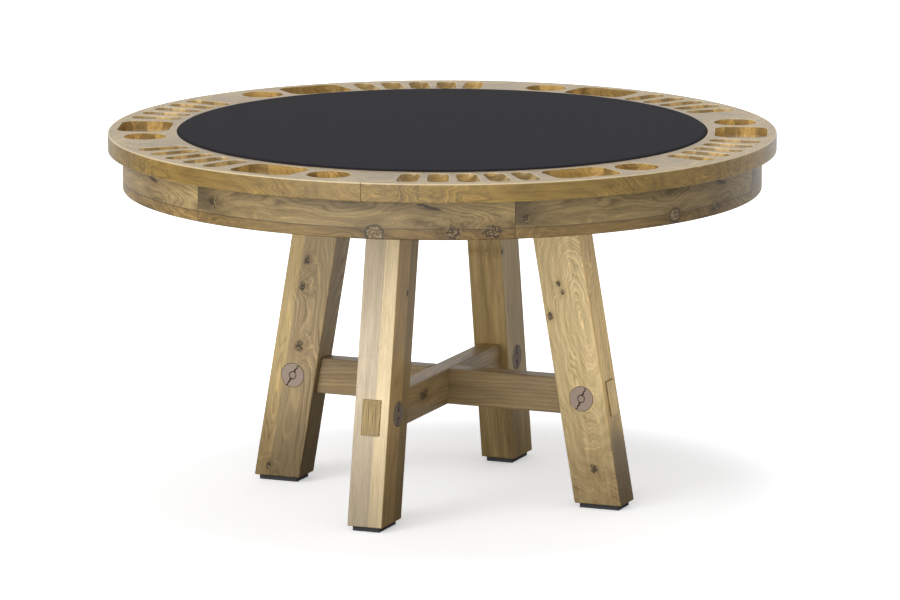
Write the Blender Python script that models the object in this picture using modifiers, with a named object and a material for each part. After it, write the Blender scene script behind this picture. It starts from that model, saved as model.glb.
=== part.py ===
"""Round oak card table, 54 in across and 30 in high.

A rail of six segments, each with five chip slots, a tray and a cup hole, rings a padded
playing panel. The rail lies on a plywood deck and a curved apron. Two crossed bearers under the
deck carry it on four splayed legs, which two half-lapped stretchers tie together near the floor.
The stretchers pass through the legs as through tenons, each locked by a round peg.

The origin is on the floor under the centre, +Z is up, and the legs stand on the X and Y axes.
"""

import math

import bmesh
import bpy
from mathutils import Matrix, Vector

# Overall sizes, in metres
TABLE_DIAMETER = 1.3716
TABLE_HEIGHT = 0.762
GAP = 0.0003
FASTENER_SIDES = 12

# Rail
RAIL_SEGMENTS = 6
RAIL_THICKNESS = 0.038
RAIL_INNER_RADIUS = 0.544
RAIL_EDGE_ROUND = 0.004
RAIL_STEPS = 15
RAIL_SEAM_ANGLE = 39.1
SPLINE_SIZE = Vector((0.110, 0.024, 0.004))

# Pockets in one rail segment; their angles, in degrees, run from the segment's own seam
POCKET_RADIUS = 0.6125
SLOT_ANGLES = [7.2, 12.6, 18.0, 23.4, 28.8]
SLOT_LENGTH = 0.107
SLOT_CUTTER_RADIUS = 0.0225
SLOT_DEPTH = 0.0165
SLOT_SIDES = 12
TRAY_ANGLE = 39.7
TRAY_LENGTH = 0.107
TRAY_WIDTH = 0.141
TRAY_DEPTH = 0.024
TRAY_CORNER = 0.028
TRAY_CORNER_STEPS = 4
TRAY_COVE = 0.007
CUP_ANGLE = 52.1
CUP_RADIUS = 0.0435
CUP_DEPTH = 0.028
CUP_COVE = 0.004
CUP_SIDES = 20

# Deck, apron and the blocks behind its seams
DECK_RADIUS = 0.6225
DECK_THICKNESS = 0.018
APRON_OUTER_RADIUS = 0.656
APRON_THICKNESS = 0.032
APRON_HEIGHT = 0.0785
APRON_EDGE_ROUND = 0.003
APRON_STEPS = 12
APRON_SEAM_ANGLE = 5.0
BLOCK_SIZE = Vector((0.028, 0.090, 0.040))

# Playing panel
PANEL_RADIUS = 0.543
PANEL_PROUD = 0.0034
CLOTH_THICKNESS = 0.0014
BOARD_THICKNESS = 0.025
PANEL_EDGE_ROUND = 0.007
PANEL_STEPS = 48

# Legs: radial depth square to the slope, width across it, and the slope itself
LEG_DEPTH = 0.101
LEG_WIDTH = 0.0756
LEG_LEAN = math.radians(9.73)
LEG_FLOOR_RADIUS = 0.3615
LEG_EDGE = 0.003
LEG_NAMES = ["right", "back", "left", "front"]
PAD_HEIGHT = 0.0105
PAD_INSET = 0.0084
FOOT_SCREW_HEAD_RADIUS = 0.0055
FOOT_SCREW_SHANK_RADIUS = 0.0023
FOOT_SCREW_LENGTH = 0.038
FOOT_SCREW_RECESS = 0.003

# Stretchers, tenons and pegs
STRETCHER_WIDTH = 0.0436
STRETCHER_HEIGHT = 0.0746
STRETCHER_TOP = 0.2663
STRETCHER_EDGE = 0.003
TENON_WIDTH = 0.0394
TENON_HEIGHT = 0.0709
TENON_PROUD = 0.004
TENON_EDGE = 0.0015
PEG_RADIUS = 0.0255
PEG_EDGE = 0.001
PEG_SIDES = 24

# Bearers under the deck, and the screws at their joints
BEARER_WIDTH = 0.090
BEARER_HEIGHT = 0.045
BEARER_REACH = 0.585
BEARER_SLOPE = 0.6
LEG_BOLT_HEAD_RADIUS = 0.008
LEG_BOLT_SHANK_RADIUS = 0.004
LEG_BOLT_HEAD_HEIGHT = 0.006
LEG_BOLT_LENGTH = 0.090
LEG_BOLT_RECESS = 0.002
DECK_SCREW_PLACE = 0.450
DECK_SCREW_HEAD_RADIUS = 0.0045
DECK_SCREW_SHANK_RADIUS = 0.0022
DECK_SCREW_HEAD_HEIGHT = 0.003
DECK_SCREW_LENGTH = 0.040
DECK_SCREW_RECESS = 0.018

# Heights and radii that follow from the sizes above
RAIL_BOTTOM = TABLE_HEIGHT - RAIL_THICKNESS
DECK_TOP = RAIL_BOTTOM - GAP
DECK_BOTTOM = DECK_TOP - DECK_THICKNESS
BEARER_TOP = DECK_BOTTOM - GAP
BEARER_BOTTOM = BEARER_TOP - BEARER_HEIGHT
LEG_TOP = BEARER_BOTTOM - GAP
LEG_RADIAL_HALF = LEG_DEPTH / math.cos(LEG_LEAN) / 2
STRETCHER_MIDDLE = STRETCHER_TOP - STRETCHER_HEIGHT / 2
CLOTH_TOP = TABLE_HEIGHT + PANEL_PROUD
PANEL_CORE_RADIUS = PANEL_RADIUS - CLOTH_THICKNESS - GAP
BOARD_TOP = RAIL_BOTTOM + BOARD_THICKNESS


def leg_radius(height):
    """Distance of a leg's centre line from the table's axis at a height."""
    return LEG_FLOOR_RADIUS - math.tan(LEG_LEAN) * height


def spot(angle, radius, height):
    """The point at an angle in degrees about the table's axis."""
    turn = math.radians(angle)
    return Vector((radius * math.cos(turn), radius * math.sin(turn), height))


def arc(centre, radius, start, end, steps):
    """Points along an arc in the (radius, height) plane, angles in degrees."""
    points = []
    for step in range(steps + 1):
        turn = math.radians(start + (end - start) * step / steps)
        points.append((centre[0] + radius * math.cos(turn), centre[1] + radius * math.sin(turn)))
    return points


def empty_scene():
    """Remove what the file holds, and return the collections for parts and for cutters."""
    for thing in list(bpy.data.objects):
        bpy.data.objects.remove(thing, do_unlink=True)
    collections = []
    for name in ("card_table", "cutters"):
        collection = bpy.data.collections.new(name)
        bpy.context.scene.collection.children.link(collection)
        collections.append(collection)
    return collections


PARTS, CUTTERS = empty_scene()


def finish(name, colour, roughness, metallic=0.0):
    """A Principled material of one colour."""
    material = bpy.data.materials.new(name)
    material.use_nodes = True
    shader = material.node_tree.nodes["Principled BSDF"]
    shader.inputs["Base Color"].default_value = (*colour, 1.0)
    shader.inputs["Roughness"].default_value = roughness
    shader.inputs["Metallic"].default_value = metallic
    material.diffuse_color = (*colour, 1.0)
    return material


RAIL_OAK = finish("rail_oak", (0.52, 0.39, 0.22), 0.38)
APRON_OAK = finish("apron_oak", (0.36, 0.27, 0.15), 0.42)
LEG_OAK = finish("leg_oak", (0.50, 0.37, 0.20), 0.42)
STRETCHER_OAK = finish("stretcher_oak", (0.27, 0.20, 0.11), 0.45)
PEG_OAK = finish("peg_end_grain", (0.33, 0.24, 0.15), 0.55)
BEECH = finish("spline_beech", (0.62, 0.46, 0.28), 0.55)
PLYWOOD = finish("birch_plywood", (0.60, 0.47, 0.31), 0.6)
PINE = finish("bearer_pine", (0.58, 0.42, 0.24), 0.6)
CLOTH = finish("playing_cloth", (0.045, 0.042, 0.048), 0.9)
FOAM = finish("foam", (0.62, 0.60, 0.52), 0.95)
RUBBER = finish("foot_rubber", (0.02, 0.02, 0.022), 0.75)
STEEL = finish("zinc_steel", (0.60, 0.60, 0.58), 0.35, 1.0)


def place(name, mesh, material=None, turn=0.0, place_at=(0, 0, 0)):
    """Put a mesh in the scene: a part where it has a material, a cutter where it has none."""
    thing = bpy.data.objects.new(name, mesh)
    thing.location = place_at
    thing.rotation_euler.z = math.radians(turn)
    if material is None:
        CUTTERS.objects.link(thing)
        thing.hide_render = True
        thing.display_type = "WIRE"
    else:
        PARTS.objects.link(thing)
        if not mesh.materials:
            mesh.materials.append(material)
    return thing


def mesh_of(name, shape):
    """Turn a finished bmesh into a mesh whose faces point outwards."""
    bmesh.ops.recalc_face_normals(shape, faces=shape.faces)
    mesh = bpy.data.meshes.new(name)
    shape.to_mesh(mesh)
    shape.free()
    return mesh


def block_mesh(name, size, centre=(0, 0, 0)):
    """A box of a size about a centre."""
    shape = bmesh.new()
    bmesh.ops.create_cube(shape, size=1.0)
    bmesh.ops.scale(shape, vec=size, verts=shape.verts)
    bmesh.ops.translate(shape, vec=centre, verts=shape.verts)
    return mesh_of(name, shape)


def bar_mesh(name, reach, width, low, high):
    """A bar along X through the axis, whose ends lie at reach(height) on both sides."""
    shape = bmesh.new()
    bmesh.ops.create_cube(shape, size=1.0)
    for corner in shape.verts:
        height = high if corner.co.z > 0 else low
        side = 1 if corner.co.x > 0 else -1
        corner.co = (side * reach(height), math.copysign(width / 2, corner.co.y), height)
    return mesh_of(name, shape)


def sector_mesh(name, profile, sweep, steps):
    """A closed (radius, height) profile swept about Z from the X axis, both ends capped."""
    shape = bmesh.new()
    corners = [shape.verts.new((radius, 0, height)) for radius, height in profile]
    face = shape.faces.new(corners)
    bmesh.ops.spin(shape, geom=[face], cent=(0, 0, 0), axis=(0, 0, 1),
                   angle=math.radians(sweep), steps=steps, use_merge=False)
    return mesh_of(name, shape)


def turned(name, profile, sides, material=None, place_at=(0, 0, 0)):
    """A turned piece: its (radius, height) profile runs from top to bottom down the outer side."""
    mesh = bpy.data.meshes.new(name)
    points = [(radius, 0, height) for radius, height in profile]
    mesh.from_pydata(points, [(i, i + 1) for i in range(len(points) - 1)], [])
    thing = place(name, mesh, material, place_at=place_at)
    screw = thing.modifiers.new("turn", "SCREW")
    screw.steps = sides
    screw.render_steps = sides
    screw.use_merge_vertices = True
    screw.merge_threshold = 0.0001
    screw.use_smooth_shade = False
    return thing


def soften(thing, width, segments=1):
    """Round a piece's edges."""
    bevel = thing.modifiers.new("edges", "BEVEL")
    bevel.width = width
    bevel.segments = segments
    bevel.limit_method = "ANGLE"


def combine(thing, tool, operation):
    """Cut a tool from a piece, or join it on."""
    boolean = thing.modifiers.new(tool.name, "BOOLEAN")
    boolean.operation = operation
    boolean.solver = "EXACT"
    boolean.object = tool


def cut(thing, *tools):
    """Cut each tool from a piece in turn."""
    for tool in tools:
        combine(thing, tool, "DIFFERENCE")


def headed(head_radius, head_height, shank_radius, length, grow=0.0):
    """Profile of a screw whose head is at the top, its head's top at height 0."""
    return [(0, grow), (head_radius + grow, grow), (head_radius + grow, -head_height),
            (shank_radius + grow, -head_height), (shank_radius + grow, -length - grow),
            (0, -length - grow)]


def upside_down(profile):
    """The same screw driven from below, its head's underside at height 0."""
    return [(radius, -height) for radius, height in reversed(profile)]


def slot_mesh():
    """Cutter of a chip slot: a round bar with ball ends, lying along X."""
    straight = SLOT_LENGTH / 2 - math.sqrt(SLOT_CUTTER_RADIUS ** 2
                                           - (SLOT_CUTTER_RADIUS - SLOT_DEPTH) ** 2)
    half = arc((straight, 0), SLOT_CUTTER_RADIUS, 90, 0, SLOT_SIDES // 4)
    points = [(-along, away) for along, away in reversed(half)] + half
    shape = bmesh.new()
    verts = [shape.verts.new((along, 0, -away)) for along, away in points]
    edges = [shape.edges.new(pair) for pair in zip(verts, verts[1:])]
    bmesh.ops.spin(shape, geom=verts + edges, cent=(0, 0, 0), axis=(1, 0, 0),
                   angle=2 * math.pi, steps=SLOT_SIDES, use_merge=False)
    bmesh.ops.remove_doubles(shape, verts=shape.verts, dist=0.00005)
    return mesh_of("slot_cutter", shape)


def tray_mesh():
    """Cutter of a tray: a box with round corners and a coved floor edge, its floor at height 0."""
    shape = bmesh.new()
    height = 2 * TRAY_DEPTH
    bmesh.ops.create_cube(shape, size=1.0)
    bmesh.ops.scale(shape, vec=(TRAY_LENGTH, TRAY_WIDTH, height), verts=shape.verts)
    bmesh.ops.translate(shape, vec=(0, 0, height / 2), verts=shape.verts)
    upright = [edge for edge in shape.edges if abs(edge.verts[0].co.z - edge.verts[1].co.z) > 0.001]
    bmesh.ops.bevel(shape, geom=upright, offset=TRAY_CORNER, segments=TRAY_CORNER_STEPS, affect="EDGES", profile=0.5)
    floor = [edge for edge in shape.edges if all(vert.co.z < 0.0001 for vert in edge.verts)]
    bmesh.ops.bevel(shape, geom=floor, offset=TRAY_COVE, segments=1, affect="EDGES", profile=0.5)
    return mesh_of("tray_cutter", shape)


def cup_profile():
    """Profile of a cup hole's cutter, its floor at height 0."""
    cove = arc((CUP_RADIUS - CUP_COVE, CUP_COVE), CUP_COVE, 0, -90, 1)
    return [(0, 2 * CUP_DEPTH), (CUP_RADIUS, 2 * CUP_DEPTH)] + cove + [(0, 0)]


def make_rail():
    """Six rail segments with their pockets, and the loose splines that join them."""
    outer = TABLE_DIAMETER / 2
    top_corner = (outer - RAIL_EDGE_ROUND, TABLE_HEIGHT - RAIL_EDGE_ROUND)
    low_corner = (outer - RAIL_EDGE_ROUND / 2, RAIL_BOTTOM + RAIL_EDGE_ROUND / 2)
    profile = [(RAIL_INNER_RADIUS, RAIL_BOTTOM), (RAIL_INNER_RADIUS, TABLE_HEIGHT)]
    profile += arc(top_corner, RAIL_EDGE_ROUND, 90, 0, 3)
    profile += arc(low_corner, RAIL_EDGE_ROUND / 2, 0, -90, 1)
    sweep = 360 / RAIL_SEGMENTS
    seam_gap = math.degrees(GAP / RAIL_INNER_RADIUS)
    blank = sector_mesh("rail_blank", profile, sweep - seam_gap, RAIL_STEPS)
    slot = slot_mesh()
    tray = tray_mesh()
    spline = block_mesh("spline", SPLINE_SIZE)
    groove = block_mesh("groove", SPLINE_SIZE + Vector((2 * GAP,) * 3))
    spline_height = RAIL_BOTTOM + RAIL_THICKNESS / 2
    grooves = []
    for number in range(RAIL_SEGMENTS):
        seam = RAIL_SEAM_ANGLE + sweep * number
        middle = spot(seam, (RAIL_INNER_RADIUS + outer) / 2, spline_height)
        place(f"rail_spline_{number + 1}", spline, BEECH, seam, middle)
        grooves.append(place(f"groove_cutter_{number + 1}", groove, None, seam, middle))
    for number in range(RAIL_SEGMENTS):
        seam = RAIL_SEAM_ANGLE + sweep * number
        segment = place(f"rail_segment_{number + 1}", blank, RAIL_OAK, seam + seam_gap / 2)
        slot_centre = TABLE_HEIGHT - SLOT_DEPTH + SLOT_CUTTER_RADIUS
        for count, angle in enumerate(SLOT_ANGLES):
            middle = spot(seam + angle, POCKET_RADIUS, slot_centre)
            cut(segment, place(f"slot_cutter_{number + 1}_{count + 1}", slot, None, seam + angle, middle))
        middle = spot(seam + TRAY_ANGLE, POCKET_RADIUS, TABLE_HEIGHT - TRAY_DEPTH)
        cut(segment, place(f"tray_cutter_{number + 1}", tray, None, seam + TRAY_ANGLE, middle))
        middle = spot(seam + CUP_ANGLE, POCKET_RADIUS, TABLE_HEIGHT - CUP_DEPTH)
        cut(segment, turned(f"cup_cutter_{number + 1}", cup_profile(), CUP_SIDES, None, middle))
        cut(segment, grooves[number], grooves[(number + 1) % RAIL_SEGMENTS])


def make_apron():
    """Six curved apron segments, and a glue block inside each of their seams."""
    inner = APRON_OUTER_RADIUS - APRON_THICKNESS
    low = DECK_TOP - APRON_HEIGHT
    corner = (APRON_OUTER_RADIUS - APRON_EDGE_ROUND, low + APRON_EDGE_ROUND)
    profile = [(inner, low), (inner, DECK_TOP), (APRON_OUTER_RADIUS, DECK_TOP)]
    profile += arc(corner, APRON_EDGE_ROUND, 0, -90, 2)
    sweep = 360 / RAIL_SEGMENTS
    seam_gap = math.degrees(GAP / inner)
    segment = sector_mesh("apron_segment", profile, sweep - seam_gap, APRON_STEPS)
    block = block_mesh("apron_block", BLOCK_SIZE)
    back_corner = inner * math.cos(math.radians(sweep / APRON_STEPS / 2)) - GAP
    block_radius = math.sqrt(back_corner ** 2 - (BLOCK_SIZE.y / 2) ** 2) - BLOCK_SIZE.x / 2
    block_height = DECK_BOTTOM - GAP - BLOCK_SIZE.z / 2
    for number in range(RAIL_SEGMENTS):
        seam = APRON_SEAM_ANGLE + sweep * number
        place(f"apron_segment_{number + 1}", segment, APRON_OAK, seam + seam_gap / 2)
        middle = spot(seam, block_radius, block_height)
        soften(place(f"apron_block_{number + 1}", block, PINE, seam, middle), 0.002)


def make_deck():
    """The plywood disc that the rail and the playing panel lie on."""
    shape = bmesh.new()
    bmesh.ops.create_cone(shape, cap_ends=True, segments=PANEL_STEPS, radius1=DECK_RADIUS,
                          radius2=DECK_RADIUS, depth=DECK_THICKNESS)
    middle = (0, 0, (DECK_TOP + DECK_BOTTOM) / 2)
    return place("deck", mesh_of("deck", shape), PLYWOOD, 0, middle)


def make_panel():
    """The drop-in playing panel: a board, a foam pad and the cloth drawn over both."""
    lift = bpy.data.objects.new("panel_lift", None)
    lift.location = (0, 0, RAIL_BOTTOM)
    PARTS.objects.link(lift)
    foam_top = CLOTH_TOP - CLOTH_THICKNESS - GAP
    foam_low = BOARD_TOP + GAP
    core_round = PANEL_EDGE_ROUND - CLOTH_THICKNESS - GAP
    core_corner = (PANEL_CORE_RADIUS - core_round, foam_top - core_round)
    cloth_corner = (PANEL_RADIUS - PANEL_EDGE_ROUND, CLOTH_TOP - PANEL_EDGE_ROUND)
    board = [(0, BOARD_TOP), (PANEL_CORE_RADIUS, BOARD_TOP), (PANEL_CORE_RADIUS, RAIL_BOTTOM),
             (0, RAIL_BOTTOM)]
    foam = [(0, foam_top)] + arc(core_corner, core_round, 90, 0, 2)
    foam += [(PANEL_CORE_RADIUS, foam_low), (0, foam_low)]
    inner_radius = PANEL_RADIUS - CLOTH_THICKNESS
    inner_top = CLOTH_TOP - CLOTH_THICKNESS
    skirt = RAIL_BOTTOM + GAP
    cloth = [(0, CLOTH_TOP)] + arc(cloth_corner, PANEL_EDGE_ROUND, 90, 0, 3)
    cloth += [(PANEL_RADIUS, skirt), (inner_radius, skirt)]
    cloth += arc(cloth_corner, PANEL_EDGE_ROUND - CLOTH_THICKNESS, 0, 90, 2) + [(0, inner_top)]
    for name, profile, material in (("playing_board", board, PLYWOOD), ("foam_pad", foam, FOAM),
                                    ("cloth_cover", cloth, CLOTH)):
        local = [(radius, height - RAIL_BOTTOM) for radius, height in profile]
        turned(name, local, PANEL_STEPS, material).parent = lift


def make_base():
    """Legs, feet, pegs, stretchers and bearers, with the screws between them."""
    foot_radius = leg_radius(PAD_HEIGHT)
    pad_length = 2 * (LEG_RADIAL_HALF - PAD_INSET)
    pad_size = (pad_length, LEG_WIDTH - 2 * PAD_INSET, PAD_HEIGHT - GAP)

    leg_shape = bmesh.new()
    bmesh.ops.create_cube(leg_shape, size=1.0)
    for corner in leg_shape.verts:
        height = LEG_TOP if corner.co.z > 0 else PAD_HEIGHT
        radius = leg_radius(height) + math.copysign(LEG_RADIAL_HALF, corner.co.x)
        corner.co = (radius, math.copysign(LEG_WIDTH / 2, corner.co.y), height)
    leg_mesh = mesh_of("leg", leg_shape)
    pad_mesh = block_mesh("foot_pad", pad_size, (foot_radius, 0, (PAD_HEIGHT - GAP) / 2))

    mortise_size = (0.3, TENON_WIDTH + 2 * GAP, TENON_HEIGHT + 2 * GAP)
    mortise_mesh = block_mesh("mortise", mortise_size, (leg_radius(STRETCHER_MIDDLE), 0, STRETCHER_MIDDLE))
    peg_radius = leg_radius(STRETCHER_MIDDLE)
    peg_mesh = rod_mesh("peg", PEG_RADIUS, LEG_WIDTH, peg_radius)
    peg_bore_mesh = rod_mesh("peg_bore", PEG_RADIUS + GAP, 2 * LEG_WIDTH, peg_radius)

    def shoulder(height):
        return leg_radius(height) - LEG_RADIAL_HALF - GAP

    def tenon_end(height):
        return leg_radius(height) + LEG_RADIAL_HALF + TENON_PROUD

    def bearer_end(height):
        return BEARER_REACH - BEARER_SLOPE * (BEARER_TOP - height)

    stretcher_low = STRETCHER_TOP - STRETCHER_HEIGHT
    stretcher_mesh = bar_mesh("stretcher", shoulder, STRETCHER_WIDTH, stretcher_low, STRETCHER_TOP)
    tenon_mesh = bar_mesh("tenon", tenon_end, TENON_WIDTH, STRETCHER_MIDDLE - TENON_HEIGHT / 2,
                          STRETCHER_MIDDLE + TENON_HEIGHT / 2)
    bearer_mesh = bar_mesh("bearer", bearer_end, BEARER_WIDTH, BEARER_BOTTOM, BEARER_TOP)

    stretchers = []
    bearers = []
    for turn, name in ((0, "left_right"), (90, "front_back")):
        tenon = place(f"tenon_tool_{name}", tenon_mesh, None, turn)
        soften(tenon, TENON_EDGE)
        stretcher = place(f"stretcher_{name}", stretcher_mesh, STRETCHER_OAK, turn)
        soften(stretcher, STRETCHER_EDGE, 2)
        combine(stretcher, tenon, "UNION")
        stretchers.append(stretcher)
        bearer = place(f"bearer_{name}", bearer_mesh, PINE, turn)
        soften(bearer, 0.002)
        bearers.append(bearer)
    half_lap(stretchers, STRETCHER_WIDTH, STRETCHER_MIDDLE, STRETCHER_HEIGHT, "stretcher")
    half_lap(bearers, BEARER_WIDTH, (BEARER_TOP + BEARER_BOTTOM) / 2, BEARER_HEIGHT, "bearer")

    deck = make_deck()
    foot_screw = (FOOT_SCREW_HEAD_RADIUS, 0.003, FOOT_SCREW_SHANK_RADIUS, FOOT_SCREW_LENGTH)
    leg_bolt = (LEG_BOLT_HEAD_RADIUS, LEG_BOLT_HEAD_HEIGHT, LEG_BOLT_SHANK_RADIUS, LEG_BOLT_LENGTH)
    deck_screw = (DECK_SCREW_HEAD_RADIUS, DECK_SCREW_HEAD_HEIGHT, DECK_SCREW_SHANK_RADIUS,
                  DECK_SCREW_LENGTH)
    for index, name in enumerate(LEG_NAMES):
        turn = 90 * index
        leg = place(f"leg_{name}", leg_mesh, LEG_OAK, turn)
        soften(leg, LEG_EDGE, 2)
        pad = place(f"foot_pad_{name}", pad_mesh, RUBBER, turn)
        soften(pad, 0.0015)
        peg = place(f"leg_peg_{name}", peg_mesh, PEG_OAK, turn)
        soften(peg, PEG_EDGE)
        mortise = place(f"mortise_cutter_{name}", mortise_mesh, None, turn)
        peg_bore = place(f"peg_cutter_{name}", peg_bore_mesh, None, turn)

        screw_at = spot(turn, foot_radius, FOOT_SCREW_RECESS)
        turned(f"foot_screw_{name}", upside_down(headed(*foot_screw)), FASTENER_SIDES, STEEL, screw_at)
        screw_bore = turned(f"foot_screw_cutter_{name}", bore(*foot_screw, FOOT_SCREW_RECESS, True),
                            FASTENER_SIDES, None, screw_at)
        bolt_at = spot(turn, leg_radius(LEG_TOP), BEARER_TOP - LEG_BOLT_RECESS)
        turned(f"leg_bolt_{name}", headed(*leg_bolt), FASTENER_SIDES, STEEL, bolt_at)
        bolt_bore = turned(f"leg_bolt_cutter_{name}", bore(*leg_bolt, LEG_BOLT_RECESS), FASTENER_SIDES,
                           None, bolt_at)
        deck_at = spot(turn, DECK_SCREW_PLACE, BEARER_BOTTOM + DECK_SCREW_RECESS)
        turned(f"deck_screw_{name}", upside_down(headed(*deck_screw)), FASTENER_SIDES, STEEL, deck_at)
        deck_bore = turned(f"deck_screw_cutter_{name}", bore(*deck_screw, DECK_SCREW_RECESS, True),
                           FASTENER_SIDES, None, deck_at)

        cut(leg, mortise, peg_bore, screw_bore, bolt_bore)
        cut(pad, screw_bore)
        cut(deck, deck_bore)
        cut(stretchers[index % 2], peg_bore)
        cut(bearers[index % 2], bolt_bore, deck_bore)


def bore(head_radius, head_height, shank_radius, length, recess, from_below=False):
    """Profile of the hole for a screw: its recess opens past the surface that it is driven from."""
    opening = 2 * recess + 0.001
    profile = [(0, opening), (head_radius + GAP, opening), (head_radius + GAP, -head_height - GAP),
               (shank_radius + GAP, -head_height - GAP), (shank_radius + GAP, -length - GAP),
               (0, -length - GAP)]
    return upside_down(profile) if from_below else profile


def rod_mesh(name, radius, length, place_x):
    """A round rod along Y, through a leg at the stretcher's height."""
    shape = bmesh.new()
    bmesh.ops.create_cone(shape, cap_ends=True, segments=PEG_SIDES, radius1=radius, radius2=radius,
                          depth=length, matrix=Matrix.Rotation(math.pi / 2, 4, "X"))
    bmesh.ops.translate(shape, vec=(place_x, 0, STRETCHER_MIDDLE), verts=shape.verts)
    return mesh_of(name, shape)


def half_lap(bars, width, middle, height, name):
    """Cut the upper half out of the first of two crossed bars, and the lower half out of the second."""
    for direction, bar in zip((1, -1), bars):
        size = (width + 2 * GAP, width + 2 * GAP, height)
        centre = (0, 0, middle + direction * (height / 2 - GAP / 2))
        notch = block_mesh(f"{name}_notch", size, centre)
        cut(bar, place(f"{name}_notch_cutter_{1 if direction > 0 else 2}", notch))


make_rail()
make_apron()
make_panel()
make_base()
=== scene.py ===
"""Looks of the round oak card table: fine pieces, wood, cloth, light and camera around the frame.

The table stands on the floor with its axis on Z. Its legs lean on the X and Y axes, and the rail
and the apron are each made of six equal segments. All sizes are in metres, angles in radians.
"""
import math

import bmesh
import bpy
from bpy.props import FloatProperty, FloatVectorProperty, IntProperty, PointerProperty
from mathutils import Matrix, Vector


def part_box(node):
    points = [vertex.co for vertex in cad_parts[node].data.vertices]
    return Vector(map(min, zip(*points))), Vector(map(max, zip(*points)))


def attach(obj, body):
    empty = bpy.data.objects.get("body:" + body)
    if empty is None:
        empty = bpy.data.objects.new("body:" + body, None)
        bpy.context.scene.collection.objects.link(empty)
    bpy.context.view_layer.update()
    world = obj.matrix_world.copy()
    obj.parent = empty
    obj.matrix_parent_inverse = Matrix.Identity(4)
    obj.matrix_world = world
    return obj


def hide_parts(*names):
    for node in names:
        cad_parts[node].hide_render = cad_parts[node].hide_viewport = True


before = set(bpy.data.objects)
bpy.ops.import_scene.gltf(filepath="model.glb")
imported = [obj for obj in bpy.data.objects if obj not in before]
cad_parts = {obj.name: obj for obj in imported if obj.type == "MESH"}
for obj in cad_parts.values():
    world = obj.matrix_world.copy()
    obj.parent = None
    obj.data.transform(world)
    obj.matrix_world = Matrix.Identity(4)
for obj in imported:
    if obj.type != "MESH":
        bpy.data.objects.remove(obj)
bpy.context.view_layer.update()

bl_info = {
    "name": "Oak Card Table",
    "version": (1, 0, 0),
    "blender": (4, 5, 0),
    "location": "View3D > Sidebar > Card Table",
    "description": "Builds the rail, apron, base and playing panel of a round oak card table",
    "category": "Object",
}

SEGMENTS = 6
SEGMENT_ANGLE = math.tau / SEGMENTS
LEG_NAMES = ["right", "back", "left", "front"]
RAIL_LOW, RAIL_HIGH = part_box("rail_segment_1")
APRON_LOW, APRON_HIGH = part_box("apron_segment_1")
CLOTH_LOW, CLOTH_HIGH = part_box("cloth_cover")
BOARD_LOW, BOARD_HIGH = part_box("playing_board")
FOAM_LOW, FOAM_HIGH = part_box("foam_pad")
LEG_LOW, LEG_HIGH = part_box("leg_right")
PAD_LOW, PAD_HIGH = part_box("foot_pad_right")
QUARTER = math.pi / 2
SHARP = math.radians(32)
SOFT_SHARP = math.radians(50)
MERGE = 0.00001
TWO_PLIES = 0.0028


def length(name, description, default):
    """A size in metres that the panel can show."""
    return FloatProperty(name=name, description=description, default=default, unit="LENGTH",
                         precision=4)


def angle(name, description, degrees):
    """An angle, given in degrees."""
    return FloatProperty(name=name, description=description, default=math.radians(degrees),
                         subtype="ANGLE")


def colour(name, description, default):
    """A colour that the panel can show."""
    return FloatVectorProperty(name=name, description=description, default=default, size=3,
                               subtype="COLOR", min=0.0, max=1.0)


class RailSizes(bpy.types.PropertyGroup):
    """Sizes of the rail, its pockets and the apron."""
    outer_radius: length("Outer radius", "Radius of the rail's outer face", 0.6858)
    inner_radius: length("Inner radius", "Radius of the opening in the rail", 0.544)
    edge_round: length("Edge round", "Radius of the rail's top outer edge", 0.004)
    inner_round: length("Inner round", "Radius of the rail's top inner edge", 0.0015)
    seam_gap: length("Seam gap", "Gap between two segments", 0.0003)
    seam: angle("Seam", "Angle of the rail's first seam from the X axis", 39.1)
    steps: IntProperty(name="Steps", description="Facets along one rail segment", default=48)
    pocket_radius: length("Pocket radius", "Distance of the pockets from the axis", 0.6125)
    lip_round: length("Lip round", "Radius of the lip round each pocket", 0.0014)
    slots: IntProperty(name="Slots", description="Chip slots in one segment", default=5)
    slot_first: angle("First slot", "Angle of the first slot from its segment's seam", 7.2)
    slot_pitch: angle("Slot pitch", "Angle from one slot to the next", 5.4)
    slot_length: length("Slot length", "Length of a chip slot at the top", 0.107)
    slot_bore: length("Slot bore", "Radius of a chip slot's round floor", 0.0225)
    slot_depth: length("Slot depth", "Depth of a chip slot", 0.0165)
    tray_angle: angle("Tray angle", "Angle of the tray from its segment's seam", 39.7)
    tray_length: length("Tray length", "Size of the tray along the radius", 0.107)
    tray_width: length("Tray width", "Size of the tray round the rail", 0.141)
    tray_corner: length("Tray corner", "Radius of the tray's corners", 0.028)
    tray_depth: length("Tray depth", "Depth of the tray", 0.024)
    tray_cove: length("Tray cove", "Radius at the edge of the tray's floor", 0.007)
    cup_angle: angle("Cup angle", "Angle of the cup hole from its segment's seam", 52.1)
    cup_radius: length("Cup radius", "Radius of the cup hole", 0.0435)
    cup_depth: length("Cup depth", "Depth of the cup hole", 0.028)
    cup_cove: length("Cup cove", "Radius at the edge of the cup hole's floor", 0.004)
    apron_radius: length("Apron radius", "Radius of the apron's outer face", 0.656)
    apron_thickness: length("Apron thickness", "Thickness of the apron", 0.032)
    apron_round: length("Apron round", "Radius of the apron's edges", 0.003)
    apron_seam: angle("Apron seam", "Angle of the apron's first seam from the X axis", 5.0)


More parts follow.
